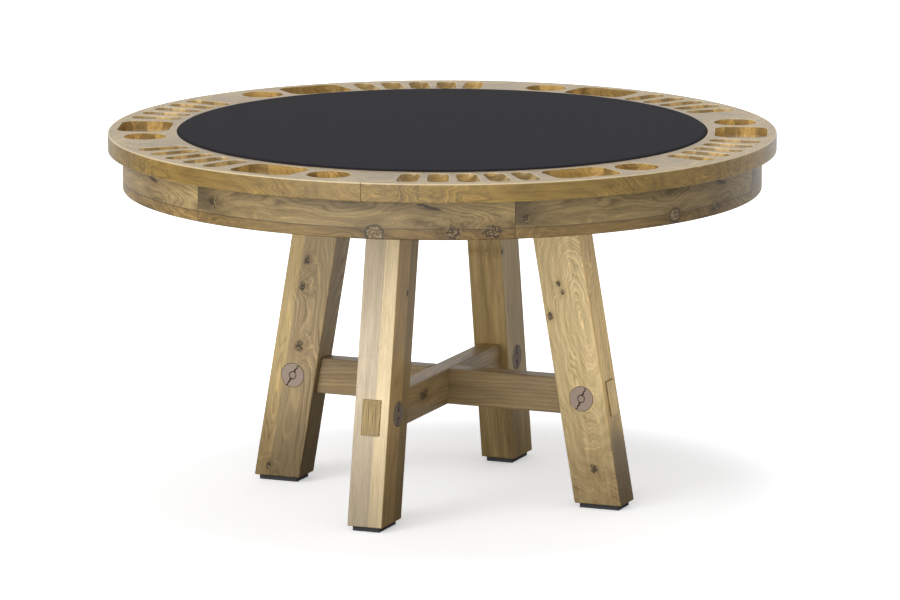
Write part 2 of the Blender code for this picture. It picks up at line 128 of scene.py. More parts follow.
class BaseSizes(bpy.types.PropertyGroup):
    """Sizes of the legs, feet, stretchers and pegs."""
    leg_depth: length("Leg depth", "Depth of a leg, square to its slope", 0.101)
    leg_width: length("Leg width", "Width of a leg", 0.0756)
    leg_lean: angle("Leg lean", "Slope of a leg from upright", 9.73)
    leg_foot: length("Leg foot", "Distance of a leg's centre line from the axis at the floor",
                     0.3615)
    leg_edge: length("Leg edge", "Size of the round on a leg's edges", 0.0024)
    pad_edge: length("Pad edge", "Size of the round on a foot's edges", 0.0012)
    stretcher_width: length("Stretcher width", "Width of a stretcher", 0.0436)
    stretcher_height: length("Stretcher height", "Height of a stretcher", 0.0746)
    stretcher_top: length("Stretcher top", "Height of the stretchers' tops", 0.2663)
    stretcher_edge: length("Stretcher edge", "Size of the round on a stretcher's edges", 0.003)
    tenon_width: length("Tenon width", "Width of a through tenon", 0.0394)
    tenon_height: length("Tenon height", "Height of a through tenon", 0.0709)
    tenon_proud: length("Tenon proud", "How far a tenon stands out of the leg", 0.004)
    tenon_edge: length("Tenon edge", "Size of the round on a tenon's edges", 0.0012)
    peg_radius: length("Peg radius", "Radius of a peg", 0.0255)
    peg_edge: length("Peg edge", "Size of the round on a peg's edge", 0.0012)
    crack_width: length("Crack width", "Width of the drying crack across a peg", 0.0044)
    crack_depth: length("Crack depth", "Depth of the drying crack", 0.005)
    fit: length("Fit", "Clearance round the tenons and pegs", 0.0003)


class PanelSizes(bpy.types.PropertyGroup):
    """Sizes of the padded playing panel."""
    edge_round: length("Edge round", "Radius of the cloth where it turns over the edge", 0.007)
    cloth_thickness: length("Cloth thickness", "Thickness of the cloth", 0.0014)
    crown: length("Crown", "How far the padding swells in the middle", 0.0016)
    sectors: IntProperty(name="Sectors", description="Cloth facets round the panel", default=120)


class OakColours(bpy.types.PropertyGroup):
    """Colours of the finishes."""
    rail_light: colour("Rail light", "Light wood of the rail", (0.43, 0.300, 0.108))
    rail_dark: colour("Rail dark", "Dark wood of the rail", (0.22, 0.145, 0.046))
    apron_light: colour("Apron light", "Light wood of the apron", (0.345, 0.250, 0.110))
    apron_dark: colour("Apron dark", "Dark wood of the apron", (0.145, 0.098, 0.041))
    leg_light: colour("Leg light", "Light wood of the legs", (0.86, 0.67, 0.35))
    leg_dark: colour("Leg dark", "Dark wood of the legs", (0.46, 0.33, 0.145))
    grey: colour("Grey wood", "Weathered grey boards", (0.59, 0.495, 0.375))
    cream: colour("Cream wood", "Palest boards", (0.86, 0.70, 0.44))
    stretcher: colour("Stretcher", "Wood of the stretchers", (0.25, 0.175, 0.082))
    tenon: colour("Tenon", "Cut ends of the stretchers", (0.33, 0.23, 0.09))
    peg: colour("Peg", "End grain of the pegs", (0.37, 0.285, 0.225))
    knot: colour("Knot", "Heart of the knots", (0.042, 0.028, 0.016))
    cloth: colour("Cloth", "Playing cloth", (0.0218, 0.0195, 0.0255))
    rubber: colour("Rubber", "Feet", (0.045, 0.045, 0.047))


class StageSettings(bpy.types.PropertyGroup):
    """Camera and light."""
    camera_place: FloatVectorProperty(name="Camera place", description="Where the camera stands",
                                      default=(4.513, -10.895, 2.614), subtype="TRANSLATION")
    camera_pitch: angle("Camera pitch", "How far the camera looks down", 10.61)
    camera_heading: angle("Camera heading", "Which way the camera looks round", 22.424)
    lens: FloatProperty(name="Lens", description="Focal length in millimetres", default=232.6)
    sky: FloatProperty(name="Sky", description="Strength of the even white light", default=0.27)
    front: FloatProperty(name="Front", description="Strength of the wide front light", default=2.7)
    front_heading: angle("Front heading", "Direction that the front light comes from", 262)
    front_height: angle("Front height", "Height of the front light", 8)
    back: FloatProperty(name="Back", description="Strength of the light behind", default=0.75)
    back_heading: angle("Back heading", "Direction that the light behind comes from", 100)
    side: FloatProperty(name="Side", description="Strength of the light beside", default=0.45)
    side_heading: angle("Side heading", "Direction that the light beside comes from", 350)
    key: FloatProperty(name="Key", description="Strength of the main lamp", default=0.5)
    key_height: angle("Key height", "Height of the main lamp above the horizon", 36)
    key_heading: angle("Key heading", "Direction that the main lamp comes from", 245)
    key_softness: angle("Key softness", "Width of the main lamp as seen from the table", 24)
    floor: FloatProperty(name="Floor", description="Lightness of the floor", default=0.95)
    floor_glow: FloatProperty(name="Floor glow", description="Light of the floor", default=0.395)
    card_radius: length("Card radius", "Radius of the dark card under the floor", 0.95)


# ---------------------------------------------------------------- shapes

def arc(centre, radius, start, end, steps):
    """Points on an arc in the (radius, height) plane, angles in degrees."""
    turns = [math.radians(start + (end - start) * step / steps) for step in range(steps + 1)]
    return [(centre[0] + radius * math.cos(turn), centre[1] + radius * math.sin(turn))
            for turn in turns]


def closed_mesh(name, shape):
    """A mesh from a bmesh, its doubles merged and its faces turned outwards."""
    bmesh.ops.remove_doubles(shape, verts=shape.verts, dist=MERGE)
    bmesh.ops.recalc_face_normals(shape, faces=shape.faces)
    mesh = bpy.data.meshes.new(name)
    shape.to_mesh(mesh)
    shape.free()
    return mesh


def loft(name, rings, closed=False):
    """A skin over rings of equally many points; its ends are capped unless it closes on itself."""
    shape = bmesh.new()
    rows = [[shape.verts.new(point) for point in ring] for ring in rings]
    count = len(rows[0])
    pairs = list(zip(rows, rows[1:])) + ([(rows[-1], rows[0])] if closed else [])
    for first, second in pairs:
        for i in range(count):
            shape.faces.new((first[i], first[(i + 1) % count], second[(i + 1) % count], second[i]))
    if not closed:
        shape.faces.new(rows[0])
        shape.faces.new(list(reversed(rows[-1])))
    return closed_mesh(name, shape)


def sector(name, profile, sweep, steps):
    """A (radius, height) profile swept about Z from the X axis."""
    turns = [sweep * step / steps for step in range(steps + 1)]
    return loft(name, [[(r * math.cos(turn), r * math.sin(turn), z) for r, z in profile]
                       for turn in turns])


def turned(name, profile, sides, place=(0, 0, 0)):
    """A (radius, height) profile turned about Z, closed at both ends on the axis."""
    rings = []
    for i in range(sides):
        turn = math.tau * i / sides
        rings.append([Vector((r * math.cos(turn), r * math.sin(turn), z)) + Vector(place)
                      for r, z in profile])
    shape = bmesh.new()
    rows = [[shape.verts.new(point) for point in ring] for ring in rings]
    for first, second in zip(rows, rows[1:] + rows[:1]):
        for i in range(len(profile) - 1):
            shape.faces.new((first[i], second[i], second[i + 1], first[i + 1]))
    bmesh.ops.remove_doubles(shape, verts=shape.verts, dist=MERGE)
    bmesh.ops.dissolve_degenerate(shape, edges=shape.edges, dist=MERGE)
    return closed_mesh(name, shape)


def box_mesh(name, size, centre):
    """A box about a centre."""
    shape = bmesh.new()
    bmesh.ops.create_cube(shape, size=1.0)
    bmesh.ops.scale(shape, vec=size, verts=shape.verts)
    bmesh.ops.translate(shape, vec=centre, verts=shape.verts)
    return closed_mesh(name, shape)


def bar_mesh(name, reach, width, low, high):
    """A bar along X through the axis, whose ends lie at reach(height) on both sides."""
    shape = bmesh.new()
    bmesh.ops.create_cube(shape, size=1.0)
    for corner in shape.verts:
        height = high if corner.co.z > 0 else low
        side = 1 if corner.co.x > 0 else -1
        corner.co = (side * reach(height), math.copysign(width / 2, corner.co.y), height)
    return closed_mesh(name, shape)


def pocket(name, reach, rings):
    """A pocket's cutter: outlines with round corners, from its floor to above the rail.

    `reach` is where the corners' centres stand, and each ring is (corner radius, height)."""
    steps = 10
    outlines = []
    for radius, height in rings:
        outline = []
        for quarter, (side_x, side_y) in enumerate(((1, 1), (-1, 1), (-1, -1), (1, -1))):
            for step in range(steps + 1):
                turn = math.radians(90 * (quarter + step / steps))
                outline.append((side_x * reach[0] + radius * math.cos(turn),
                                side_y * reach[1] + radius * math.sin(turn), height))
        outlines.append(outline)
    return loft(name, outlines)


def lip(radius, size, top, steps=4):
    """The rings of a pocket's rounded lip, from its wall up past the rail's top."""
    rings = []
    for step in range(steps):
        turn = math.radians(84 * step / (steps - 1))
        rings.append((radius + size * (1 - math.cos(turn)), top - size * (1 - math.sin(turn))))
    return rings + [(radius + size, top + 0.0006), (radius + size, top + 0.003)]


def turned_about_z(mesh, turn):
    """Turn a mesh about the table's axis."""
    mesh.transform(Matrix.Rotation(turn, 4, "Z"))
    return mesh


def show(name, mesh):
    """Put a mesh in the scene."""
    thing = bpy.data.objects.new(name, mesh)
    bpy.context.scene.collection.objects.link(thing)
    return thing


def smoothed(mesh, sharp=SHARP):
    """Shade a mesh smooth, but for edges past an angle."""
    mesh.shade_smooth()
    mesh.set_sharp_from_angle(angle=sharp)
    return mesh


def applied(thing, sharp=SHARP):
    """Turn a piece and its modifiers into one plain mesh."""
    graph = bpy.context.evaluated_depsgraph_get()
    mesh = bpy.data.meshes.new_from_object(thing.evaluated_get(graph))
    thing.modifiers.clear()
    thing.data = mesh
    return smoothed(mesh, sharp)


def softened(thing, width, segments=3):
    """Round a piece's edges."""
    bevel = thing.modifiers.new("edges", "BEVEL")
    bevel.width = width
    bevel.segments = segments
    bevel.limit_method = "ANGLE"


def combined(thing, mesh, operation="DIFFERENCE"):
    """Cut a shape from a piece, or join it on, and return the tool's object."""
    tool = show(f"{thing.name}_tool", mesh)
    boolean = thing.modifiers.new(tool.name, "BOOLEAN")
    boolean.operation = operation
    boolean.solver = "EXACT"
    boolean.object = tool
    return tool


def discard(things):
    """Remove tools that have done their work."""
    for thing in things:
        bpy.data.objects.remove(thing, do_unlink=True)


def piece(name, mesh, material, body, node):
    """A finished piece that rides on a body and stands for a CAD node."""
    mesh.materials.clear()
    mesh.materials.append(material)
    thing = show(name, mesh)
    # Shading goes by the size of the faces, so that large flats stay flat
    weighted = thing.modifiers.new("even_shading", "WEIGHTED_NORMAL")
    weighted.keep_sharp = True
    weighted.weight = 100
    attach(thing, body)
    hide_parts(node)
    return thing


# ---------------------------------------------------------------- node trees

class Signal:
    """The output of a node, which can stand in a sum."""

    def __init__(self, g, socket):
        self.g, self.socket = g, socket

    def __abs__(self):
        return self.g.math("ABSOLUTE", self)


def sign(operation, turned_round=False):
    """What a sign beside a signal does: it adds a math node."""
    def act(self, other):
        pair = (other, self) if turned_round else (self, other)
        return self.g.math(operation, *pair)
    return act


for word, meaning in (("add", "ADD"), ("sub", "SUBTRACT"), ("mul", "MULTIPLY"),
                      ("truediv", "DIVIDE"), ("pow", "POWER")):
    setattr(Signal, f"__{word}__", sign(meaning))
    setattr(Signal, f"__r{word}__", sign(meaning, True))
Signal.__lt__ = sign("LESS_THAN")
Signal.__gt__ = sign("GREATER_THAN")


class Wiring:
    """Adds nodes to a tree in short calls; each call returns the new node's output."""

    def __init__(self, tree):
        self.tree = tree

    def node(self, kind, inputs=(), **settings):
        """Add a node; inputs are (name or number, socket or value) pairs."""
        node = self.tree.nodes.new(kind)
        for name, value in settings.items():
            setattr(node, name, value)
        for key, value in inputs:
            self.feed(value, node.inputs[key])
        return node

    def feed(self, value, socket):
        """Link a signal to an input, or give the input a value."""
        value = value.socket if isinstance(value, Signal) else value
        if isinstance(value, bpy.types.NodeSocket):
            self.tree.links.new(value, socket)
        else:
            socket.default_value = value

    def out(self, kind, inputs=(), output=0, **settings):
        """Add a node and give one of its outputs."""
        return Signal(self, self.node(kind, inputs, **settings).outputs[output])

    def math(self, operation, *values):
        return self.out("ShaderNodeMath", enumerate(values), operation=operation)

    def combine(self, x=0.0, y=0.0, z=0.0):
        return self.out("ShaderNodeCombineXYZ", enumerate((x, y, z)))

    def split(self, vector):
        outputs = self.node("ShaderNodeSeparateXYZ", [(0, vector)]).outputs
        return [Signal(self, output) for output in outputs]

    def vector(self, operation, *values):
        one_number = operation in ("LENGTH", "DOT_PRODUCT")
        return self.out("ShaderNodeVectorMath", enumerate(values),
                        "Value" if one_number else "Vector", operation=operation)

    def noise(self, vector, scale, shift=0.0, detail=2.0, roughness=0.5):
        """Noise of a different scale along each axis, 0 to 1."""
        place = self.out("ShaderNodeMapping", [("Vector", vector), ("Scale", scale),
                                               ("Location", (shift, shift * 0.7, -shift))])
        return self.out("ShaderNodeTexNoise", [("Vector", place), ("Scale", 1.0),
                                               ("Detail", detail), ("Roughness", roughness)],
                        "Fac")

    def remap(self, value, low, high, to_low=0.0, to_high=1.0):
        """A smooth step from one range to another."""
        return self.out("ShaderNodeMapRange", enumerate((value, low, high, to_low, to_high)),
                        interpolation_type="SMOOTHSTEP")

    def mix(self, factor, first, second, blend="MIX"):
        """Blend two colours."""
        first, second = (value if isinstance(value, Signal) else (*value, 1.0)
                         for value in (first, second))
        return self.out("ShaderNodeMix", [(0, factor), (6, first), (7, second)], 2,
                        data_type="RGBA", blend_type=blend)

    def tint(self, wood, colour):
        """A colour multiplied by another."""
        return self.mix(1.0, wood, colour, "MULTIPLY")

    def stain(self, factor, wood, colour):
        """A colour multiplied by another, to a share."""
        return self.mix(factor, wood, self.tint(wood, colour))

    def grey(self, value):
        """A colour from one number."""
        return self.out("ShaderNodeCombineColor", enumerate((value, value, value)))

    def index_noise(self, value):
        """A steady random number for a whole number."""
        return self.out("ShaderNodeTexWhiteNoise", [("W", value)], noise_dimensions="1D")

    def paint(self, shader, colour, height, strength, distance):
        """Give a surface its colour, and its relief from a height between 0 and 1."""
        self.feed(colour, shader.inputs["Base Color"])
        bump = self.out("ShaderNodeBump", [("Height", height), ("Strength", strength),
                                           ("Distance", distance)])
        self.feed(bump, shader.inputs["Normal"])


def new_material(name, roughness, **settings):
    """A node material and its wiring."""
    material = bpy.data.materials.new(name)
    material.use_nodes = True
    shader = material.node_tree.nodes["Principled BSDF"]
    shader.inputs["Roughness"].default_value = roughness
    for socket, value in settings.items():
        shader.inputs[socket.replace("_", " ")].default_value = value
    return material, Wiring(material.node_tree), shader


def object_place(g, turn=None):
    """The place on a piece, turned back about the table's axis if a turn is given."""
    place = g.out("ShaderNodeTexCoord", output="Object")
    if turn is None:
        return place
    return g.out("ShaderNodeMapping", [("Vector", place), ("Rotation", (0.0, 0.0, -turn))])


def from_axis(g):
    """The distance from the table's axis."""
    x, y, _ = g.split(object_place(g))
    return g.vector("LENGTH", g.combine(x, y, 0.0))


def face_direction(g):
    """The direction that a surface faces, as x, y and z."""
    return g.split(g.out("ShaderNodeNewGeometry", output="Normal"))


def times(share, colour):
    """A colour made darker or lighter."""
    return tuple(share * part for part in colour)


# ---------------------------------------------------------------- wood

def round_the_table(seam, radius):
    """Board coordinates of a segment cut from straight boards laid across it.

    Gives the place along, up and through the board, the place on the segment's outer face, the
    segment's number, and the distance to the nearest seam."""
    def place(g):
        x, y, z = g.split(object_place(g))
        turn = g.math("ARCTAN2", y, x) - seam
        from_seam = g.math("FLOORED_MODULO", turn, SEGMENT_ANGLE)
        off_middle = from_seam - SEGMENT_ANGLE / 2
        out = g.vector("LENGTH", g.combine(x, y, 0.0))
        along = out * g.math("SINE", off_middle)
        through = out * g.math("COSINE", off_middle)
        number = g.math("FLOORED_MODULO", g.math("FLOOR", turn / SEGMENT_ANGLE), SEGMENTS)
        edge = radius * (SEGMENT_ANGLE / 2 - abs(off_middle))
        face = g.combine(from_seam * radius, z)
        return along, z, through, face, number, edge
    return place


def along_the_leg(turn, base):
    """Board coordinates of a leg: along it, across its width, and through its depth."""
    def place(g):
        x, y, z = g.split(object_place(g, turn))
        depth = x + z * math.tan(base.leg_lean) - base.leg_foot
        return z, y, depth, g.combine(z, depth), 0.0, None
    return place


def along_the_bar(turn):
    """Board coordinates of a bar that lies along X, turned about the axis."""
    def place(g):
        x, y, z = g.split(object_place(g, turn))
        return x, z, y, g.combine(x, z), 0.0, None
    return place


def oak(name, place, light, dark, colours, *, pith=(0.0, -0.06, 0.0, 0.0), pitch=0.007,
        swirl=0.03, swirl_size=(5.0, 18.0, 18.0), lines=0.5, shades=0.4, bands=0.3,
        patchy=(0.42, 0.56), fibre=0.16, tone=0.8, knots=(), ring_knots=(), eyes=(),
        knot_warp=0.020, cracks=(), boards=None, board_tone=0.12, two_tone=None, split=None,
        lower_tint=None, segment_tone=0.0, pale_segment=None, dark_end=0.0, foot_shade=0.0,
        seam_line=False, finish=None, seed=0.0, roughness=0.42, coat=0.04, shine=0.34):
    """Oak whose figure is cut from growth rings about a pith line, with fibres, pores and knots.

    `place` gives the board coordinates. The pith is (up, through, rise, drift along the board).
    A knot is (along, up, half width, half height, and a segment's number if it is in one only),
    and a crack is (along, up, half length, half width, slope)."""
    material, g, shader = new_material(name, roughness, Coat_Weight=coat, Coat_Roughness=0.22,
                                       Specular_IOR_Level=shine)
    along, up, through, face, number, edge = place(g)
    board = None
    if boards is not None:
        start, width = boards
        board = g.math("FLOOR", (through - start) / width)
    if split is not None:
        lower = up < split
        board = lower * 3.0
    if board is not None:
        hop = g.index_noise(board + seed)
        along = along + hop * 1.7
    spot = g.combine(along, up, through)

    # Knots bend the rings round them; near is 0 in a knot's heart and 1 at its edge
    ragged = g.noise(spot, (95, 95, 95), seed + 3, 3.0, 0.6) - 0.5
    nearest = []
    bulge = 0.0
    for group in (knots, ring_knots, eyes):
        near = None
        for a, b, wide, high, *only in group:
            scaled = g.vector("MULTIPLY", g.vector("SUBTRACT", face, (a, b, 0.0)),
                              (1 / wide, 1 / high, 0.0))
            away = g.vector("LENGTH", scaled)
            if only:
                away = away + (abs(number - only[0]) > 0.5) * 60.0
            near = away if near is None else g.math("MINIMUM", near, away)
        if near is not None:
            near = near + ragged * (2.1 if group is knots else 0.6)
            bulge = bulge + g.math("EXPONENT", near ** 2.0 * -0.2) * knot_warp
        nearest.append(near)

    drift = g.noise(spot, swirl_size, seed + 1.3, 2.0, 0.45)
    warp = (drift - 0.5) * (swirl * 2)
    pith_up, pith_through, slant_up, slant_through = pith
    off_up = up - pith_up - along * slant_up
    off_through = through - pith_through - along * slant_through
    ring = g.vector("LENGTH", g.combine(off_up, off_through, 0.0))
    fine = g.noise(spot, (9.0, 60.0, 60.0), seed + 5.1, 3.0)
    ring = (ring + warp + bulge) / pitch + fine * 0.55

    # Pale and deep lines that come and go, soft bands, thin lines, fibres and pores
    pale_line = g.remap(g.math("PINGPONG", ring, 0.5), 0.34, 0.46)
    deep_line = g.remap(g.math("PINGPONG", ring + 0.36, 0.5), 0.34, 0.48)
    gate = g.noise(spot, (4.0, 16.0, 16.0), seed + 9.7, 2.0)
    pale = pale_line * g.remap(gate, *patchy)
    other_gate = g.noise(spot, (4.5, 18.0, 18.0), seed + 12.9, 2.0)
    deep = deep_line * g.remap(other_gate, *patchy)
    soft = g.math("PINGPONG", ring * 0.31, 0.5) * 2.0
    thin_line = g.remap(g.math("PINGPONG", ring * 2.6, 0.5), 0.28, 0.46)
    thin_gate = g.noise(spot, (6.0, 26.0, 26.0), seed + 14.3, 2.0)
    thin_line = thin_line * g.remap(thin_gate, 0.42, 0.56, 0.1, 1.0)
    broad = g.noise(spot, (3.0, 13.0, 13.0), seed + 17.0, 3.0, 0.55)
    streak = g.noise(spot, (7.0, 110.0, 110.0), seed + 23.0, 3.0, 0.6)
    hair = g.noise(spot, (28.0, 620.0, 620.0), seed + 31.0, 3.0, 0.65)
    pore = g.remap(g.noise(spot, (70.0, 1500.0, 1500.0), seed + 37.0, 1.0), 0.60, 0.72)

    blend = (broad - 0.5) * (tone * 2) + (streak - 0.5) * 1.3 + (soft - 0.5) * bands + 0.5
    wood = g.mix(g.math("MAXIMUM", g.math("MINIMUM", blend, 1.0), 0.0), dark, light)
    if two_tone is not None:
        wood = two_tone(g, wood, up, through, streak)
    wood = g.stain(pale * lines, wood, (1.5, 1.46, 1.36))
    wood = g.stain(deep * shades, wood, (0.52, 0.48, 0.42))
    wood = g.stain(thin_line * 0.5, wood, (0.62, 0.56, 0.46))
    shade = 1.0 + (hair - 0.5) * (fibre * 2.6) + pore * -0.22
    if board is not None:
        step = g.index_noise(board + (seed + 40.0))
        shade = shade + (step - 0.5) * (board_tone * 2)
    if segment_tone:
        step = g.index_noise(number + (seed + 50.0))
        shade = shade + (step - 0.5) * (segment_tone * 2)
    wood = g.tint(wood, g.grey(shade))
    if pale_segment is not None:
        chosen = abs(number - pale_segment) < 0.5
        wood = g.stain(chosen, wood, (1.4, 1.4, 1.45))
    if lower_tint is not None:
        wood = g.stain(lower, wood, lower_tint)
        joint = g.remap(abs(up - split), 0.0016, 0.0006)
        wood = g.mix(joint * 0.72, wood, (0.07, 0.048, 0.025))
    if foot_shade:
        wood = g.stain(g.remap(along, 0.3, 0.02, 0.0, foot_shade), wood, (0.5, 0.47, 0.42))
    relief = hair * 0.5 + pore * -0.5 + pale * 0.25
    if dark_end:
        # Stained heartwood just past each seam
        fade = g.remap(g.split(face)[0], dark_end, 0.0)
        patch = fade * g.remap(up, APRON_LOW.z + 0.02, APRON_LOW.z + 0.03)
        wood = g.mix(patch * 0.74, wood, (0.085, 0.062, 0.036))
    veins = g.noise(spot, (190, 190, 190), seed + 60.0, 2.0)
    vein = g.remap(abs(veins - 0.5), 0.06, 0.012)
    if nearest[2] is not None:
        # An eye: a pale swirl round it and a dark crescent inside
        eye = nearest[2]
        below = g.remap(up, RAIL_LOW.z + 0.022, RAIL_LOW.z + 0.012)
        swirl_band = g.remap(eye, 1.9, 1.3) * g.remap(eye, 0.75, 1.05)
        wood = g.stain(swirl_band * (below * 0.8), wood, (1.55, 1.5, 1.4))
        crescent = g.remap(eye, 0.95, 0.75) * g.remap(eye, 0.4, 0.62)
        wood = g.mix(crescent * 0.45, wood, (0.13, 0.085, 0.035))
    for near, ringed, around, inside, pale_heart, open_heart in (
            (nearest[0], False, 0.38, 0.85, (0.22, 0.15, 0.07), 0.9),
            (nearest[1], True, 0.25, 0.35, (0.46, 0.36, 0.22), 0.3)):
        if near is None:
            continue
        heart = g.remap(near, 1.25, 0.70)
        halo = g.remap(near, 3.4, 0.9)
        wood = g.stain(halo * around, wood, (0.6, 0.53, 0.45))
        inner = g.mix(g.remap(veins, 0.42, 0.58), (0.030, 0.019, 0.010), pale_heart)
        wood = g.mix(heart * inside, wood, inner)
        split_heart = heart * vein * open_heart
        wood = g.mix(split_heart, wood, colours.knot)
        if ringed:
            bark = g.remap(near, 1.18, 1.0) * g.remap(near, 0.72, 0.92)
            wood = g.mix(bark * 0.8, wood, colours.knot)
            relief = relief - bark * 0.8
        relief = relief - split_heart
    for a, b, long, wide, rise in cracks:
        across_x, across_y, _ = g.split(g.vector("SUBTRACT", face, (a, b, 0.0)))
        tilted = across_y - across_x * rise
        wander = (fine - 0.5) * 0.004
        ends = g.vector("LENGTH", g.combine(across_x / long, (tilted + wander) / wide))
        crack = g.remap(ends, 1.0, 0.75)
        wood = g.mix(crack * 0.92, wood, (0.045, 0.026, 0.015))
        relief = relief - crack
    if seam_line:
        joint = g.remap(edge, 0.0014, 0.0003)
        wood = g.mix(joint * 0.25, wood, (0.09, 0.065, 0.035))
    if finish is not None:
        wood = finish(g, wood, up, through)
    g.feed((streak - 0.5) * 0.18 + roughness, shader.inputs["Roughness"])
    g.paint(shader, wood, relief, 0.35, 0.0004)
    return material


def plywood(name, layers_from):
    """Birch plywood: thin layers on the edge, calm figure on the faces."""
    material, g, shader = new_material(name, 0.6)
    place = object_place(g)
    layer = g.math("PINGPONG", (g.split(place)[2] - layers_from) / TWO_PLIES, 0.5)
    figure = g.noise(place, (4.0, 30.0, 4.0), 2.0, 4.0)
    fibre = g.noise(place, (30.0, 500.0, 30.0), 5.0, 3.0)
    wood = g.mix(figure, (0.50, 0.37, 0.22), (0.66, 0.53, 0.35))
    wood = g.mix(g.remap(layer, 0.22, 0.28, 0.0, 0.30), wood, (0.30, 0.20, 0.11))
    wood = g.mix(fibre * 0.25, wood, (0.42, 0.3, 0.17))
    g.paint(shader, wood, fibre, 0.2, 0.0003)
    return material


def plain_wood(name, light, dark, scale):
    """Straight-grained softwood or beech for the hidden parts."""
    material, g, shader = new_material(name, 0.58)
    place = object_place(g)
    rings = g.noise(place, scale, 1.0, 4.0)
    bands = g.remap(g.math("PINGPONG", rings * 14.0, 0.5), 0.1, 0.5)
    fibre = g.noise(place, times(10, scale), 4.0, 3.0)
    wood = g.mix(bands, light, dark)
    wood = g.mix(fibre * 0.3, wood, dark)
    g.paint(shader, wood, fibre, 0.2, 0.0003)
    return material


# ---------------------------------------------------------------- rail

def new_tree(name, inputs):
    """A node tree with geometry in and out, and named inputs; gives its wiring and inputs too."""
    tree = bpy.data.node_groups.new(name, "GeometryNodeTree")
    for label, kind in (("Geometry", "Geometry"), *inputs):
        tree.interface.new_socket(label, in_out="INPUT", socket_type=f"NodeSocket{kind}")
    tree.interface.new_socket("Geometry", in_out="OUTPUT", socket_type="NodeSocketGeometry")
    g = Wiring(tree)
    sockets = g.node("NodeGroupInput").outputs
    return tree, g, {socket.name: Signal(g, socket) for socket in sockets if socket.name}


def end_tree(g, geometry, finish):
    """Make a tree's result real, give it its finish and put it out."""
    real = g.out("GeometryNodeRealizeInstances", [(0, geometry)])
    finished = g.out("GeometryNodeSetMaterial", [("Geometry", real), ("Material", finish)])
    g.node("NodeGroupOutput", [(0, finished)])


def rail_row_tree():
    """Node tree that cuts a row of slots, a tray, a cup hole and the spline grooves in a blank."""
    tree, g, inputs = new_tree("rail_pockets", (
        ("Slot Cutter", "Object"), ("Tray Cutter", "Object"), ("Cup Cutter", "Object"),
        ("Groove Cutter", "Object"), ("Slots", "Int"), ("First Slot", "Float"),
        ("Slot Pitch", "Float"), ("Tray Angle", "Float"), ("Cup Angle", "Float"),
        ("Sweep", "Float"), ("Pocket Radius", "Float"), ("Finish", "Material")))

    def cutter(name):
        return g.out("GeometryNodeObjectInfo", [("Object", inputs[f"{name} Cutter"])], "Geometry",
                     transform_space="ORIGINAL")

    def on_circle(turn, radius):
        return g.combine(radius * g.math("COSINE", turn), radius * g.math("SINE", turn), 0.0)

    def facing(turn):
        return g.out("FunctionNodeEulerToRotation", [(0, g.combine(0.0, 0.0, turn))])

    def turned_to(geometry, turn, radius):
        return g.out("GeometryNodeTransform", [
            ("Geometry", geometry), ("Translation", on_circle(turn, radius)),
            ("Rotation", facing(turn))])

    radius = inputs["Pocket Radius"]
    turn = g.out("GeometryNodeInputIndex") * inputs["Slot Pitch"] + inputs["First Slot"]
    points = g.out("GeometryNodePoints", [("Count", inputs["Slots"]),
                                          ("Position", on_circle(turn, radius))])
    slots = g.out("GeometryNodeInstanceOnPoints", [
        ("Points", points), ("Instance", cutter("Slot")), ("Rotation", facing(turn))])
    join = g.node("GeometryNodeJoinGeometry")
    for tool in (slots, turned_to(cutter("Tray"), inputs["Tray Angle"], radius),
                 turned_to(cutter("Cup"), inputs["Cup Angle"], radius), cutter("Groove"),
                 turned_to(cutter("Groove"), inputs["Sweep"], 0.0)):
        g.feed(tool, join.inputs[0])
    solid = g.out("GeometryNodeRealizeInstances", [(0, join.outputs[0])])
    cut = g.out("GeometryNodeMeshBoolean", [("Mesh 1", inputs["Geometry"]), ("Mesh 2", solid)],
                operation="DIFFERENCE", solver="EXACT")
    end_tree(g, cut, inputs["Finish"])
    return tree


def run_tree(thing, tree, values):
    """Run a node tree on an object with named inputs, and keep the result as a plain mesh."""
    modifier = thing.modifiers.new(tree.name, "NODES")
    modifier.node_group = tree
    names = {item.name: item.identifier for item in tree.interface.items_tree
             if item.in_out == "INPUT"}
    for name, value in values.items():
        modifier[names[name]] = value
    return applied(thing)


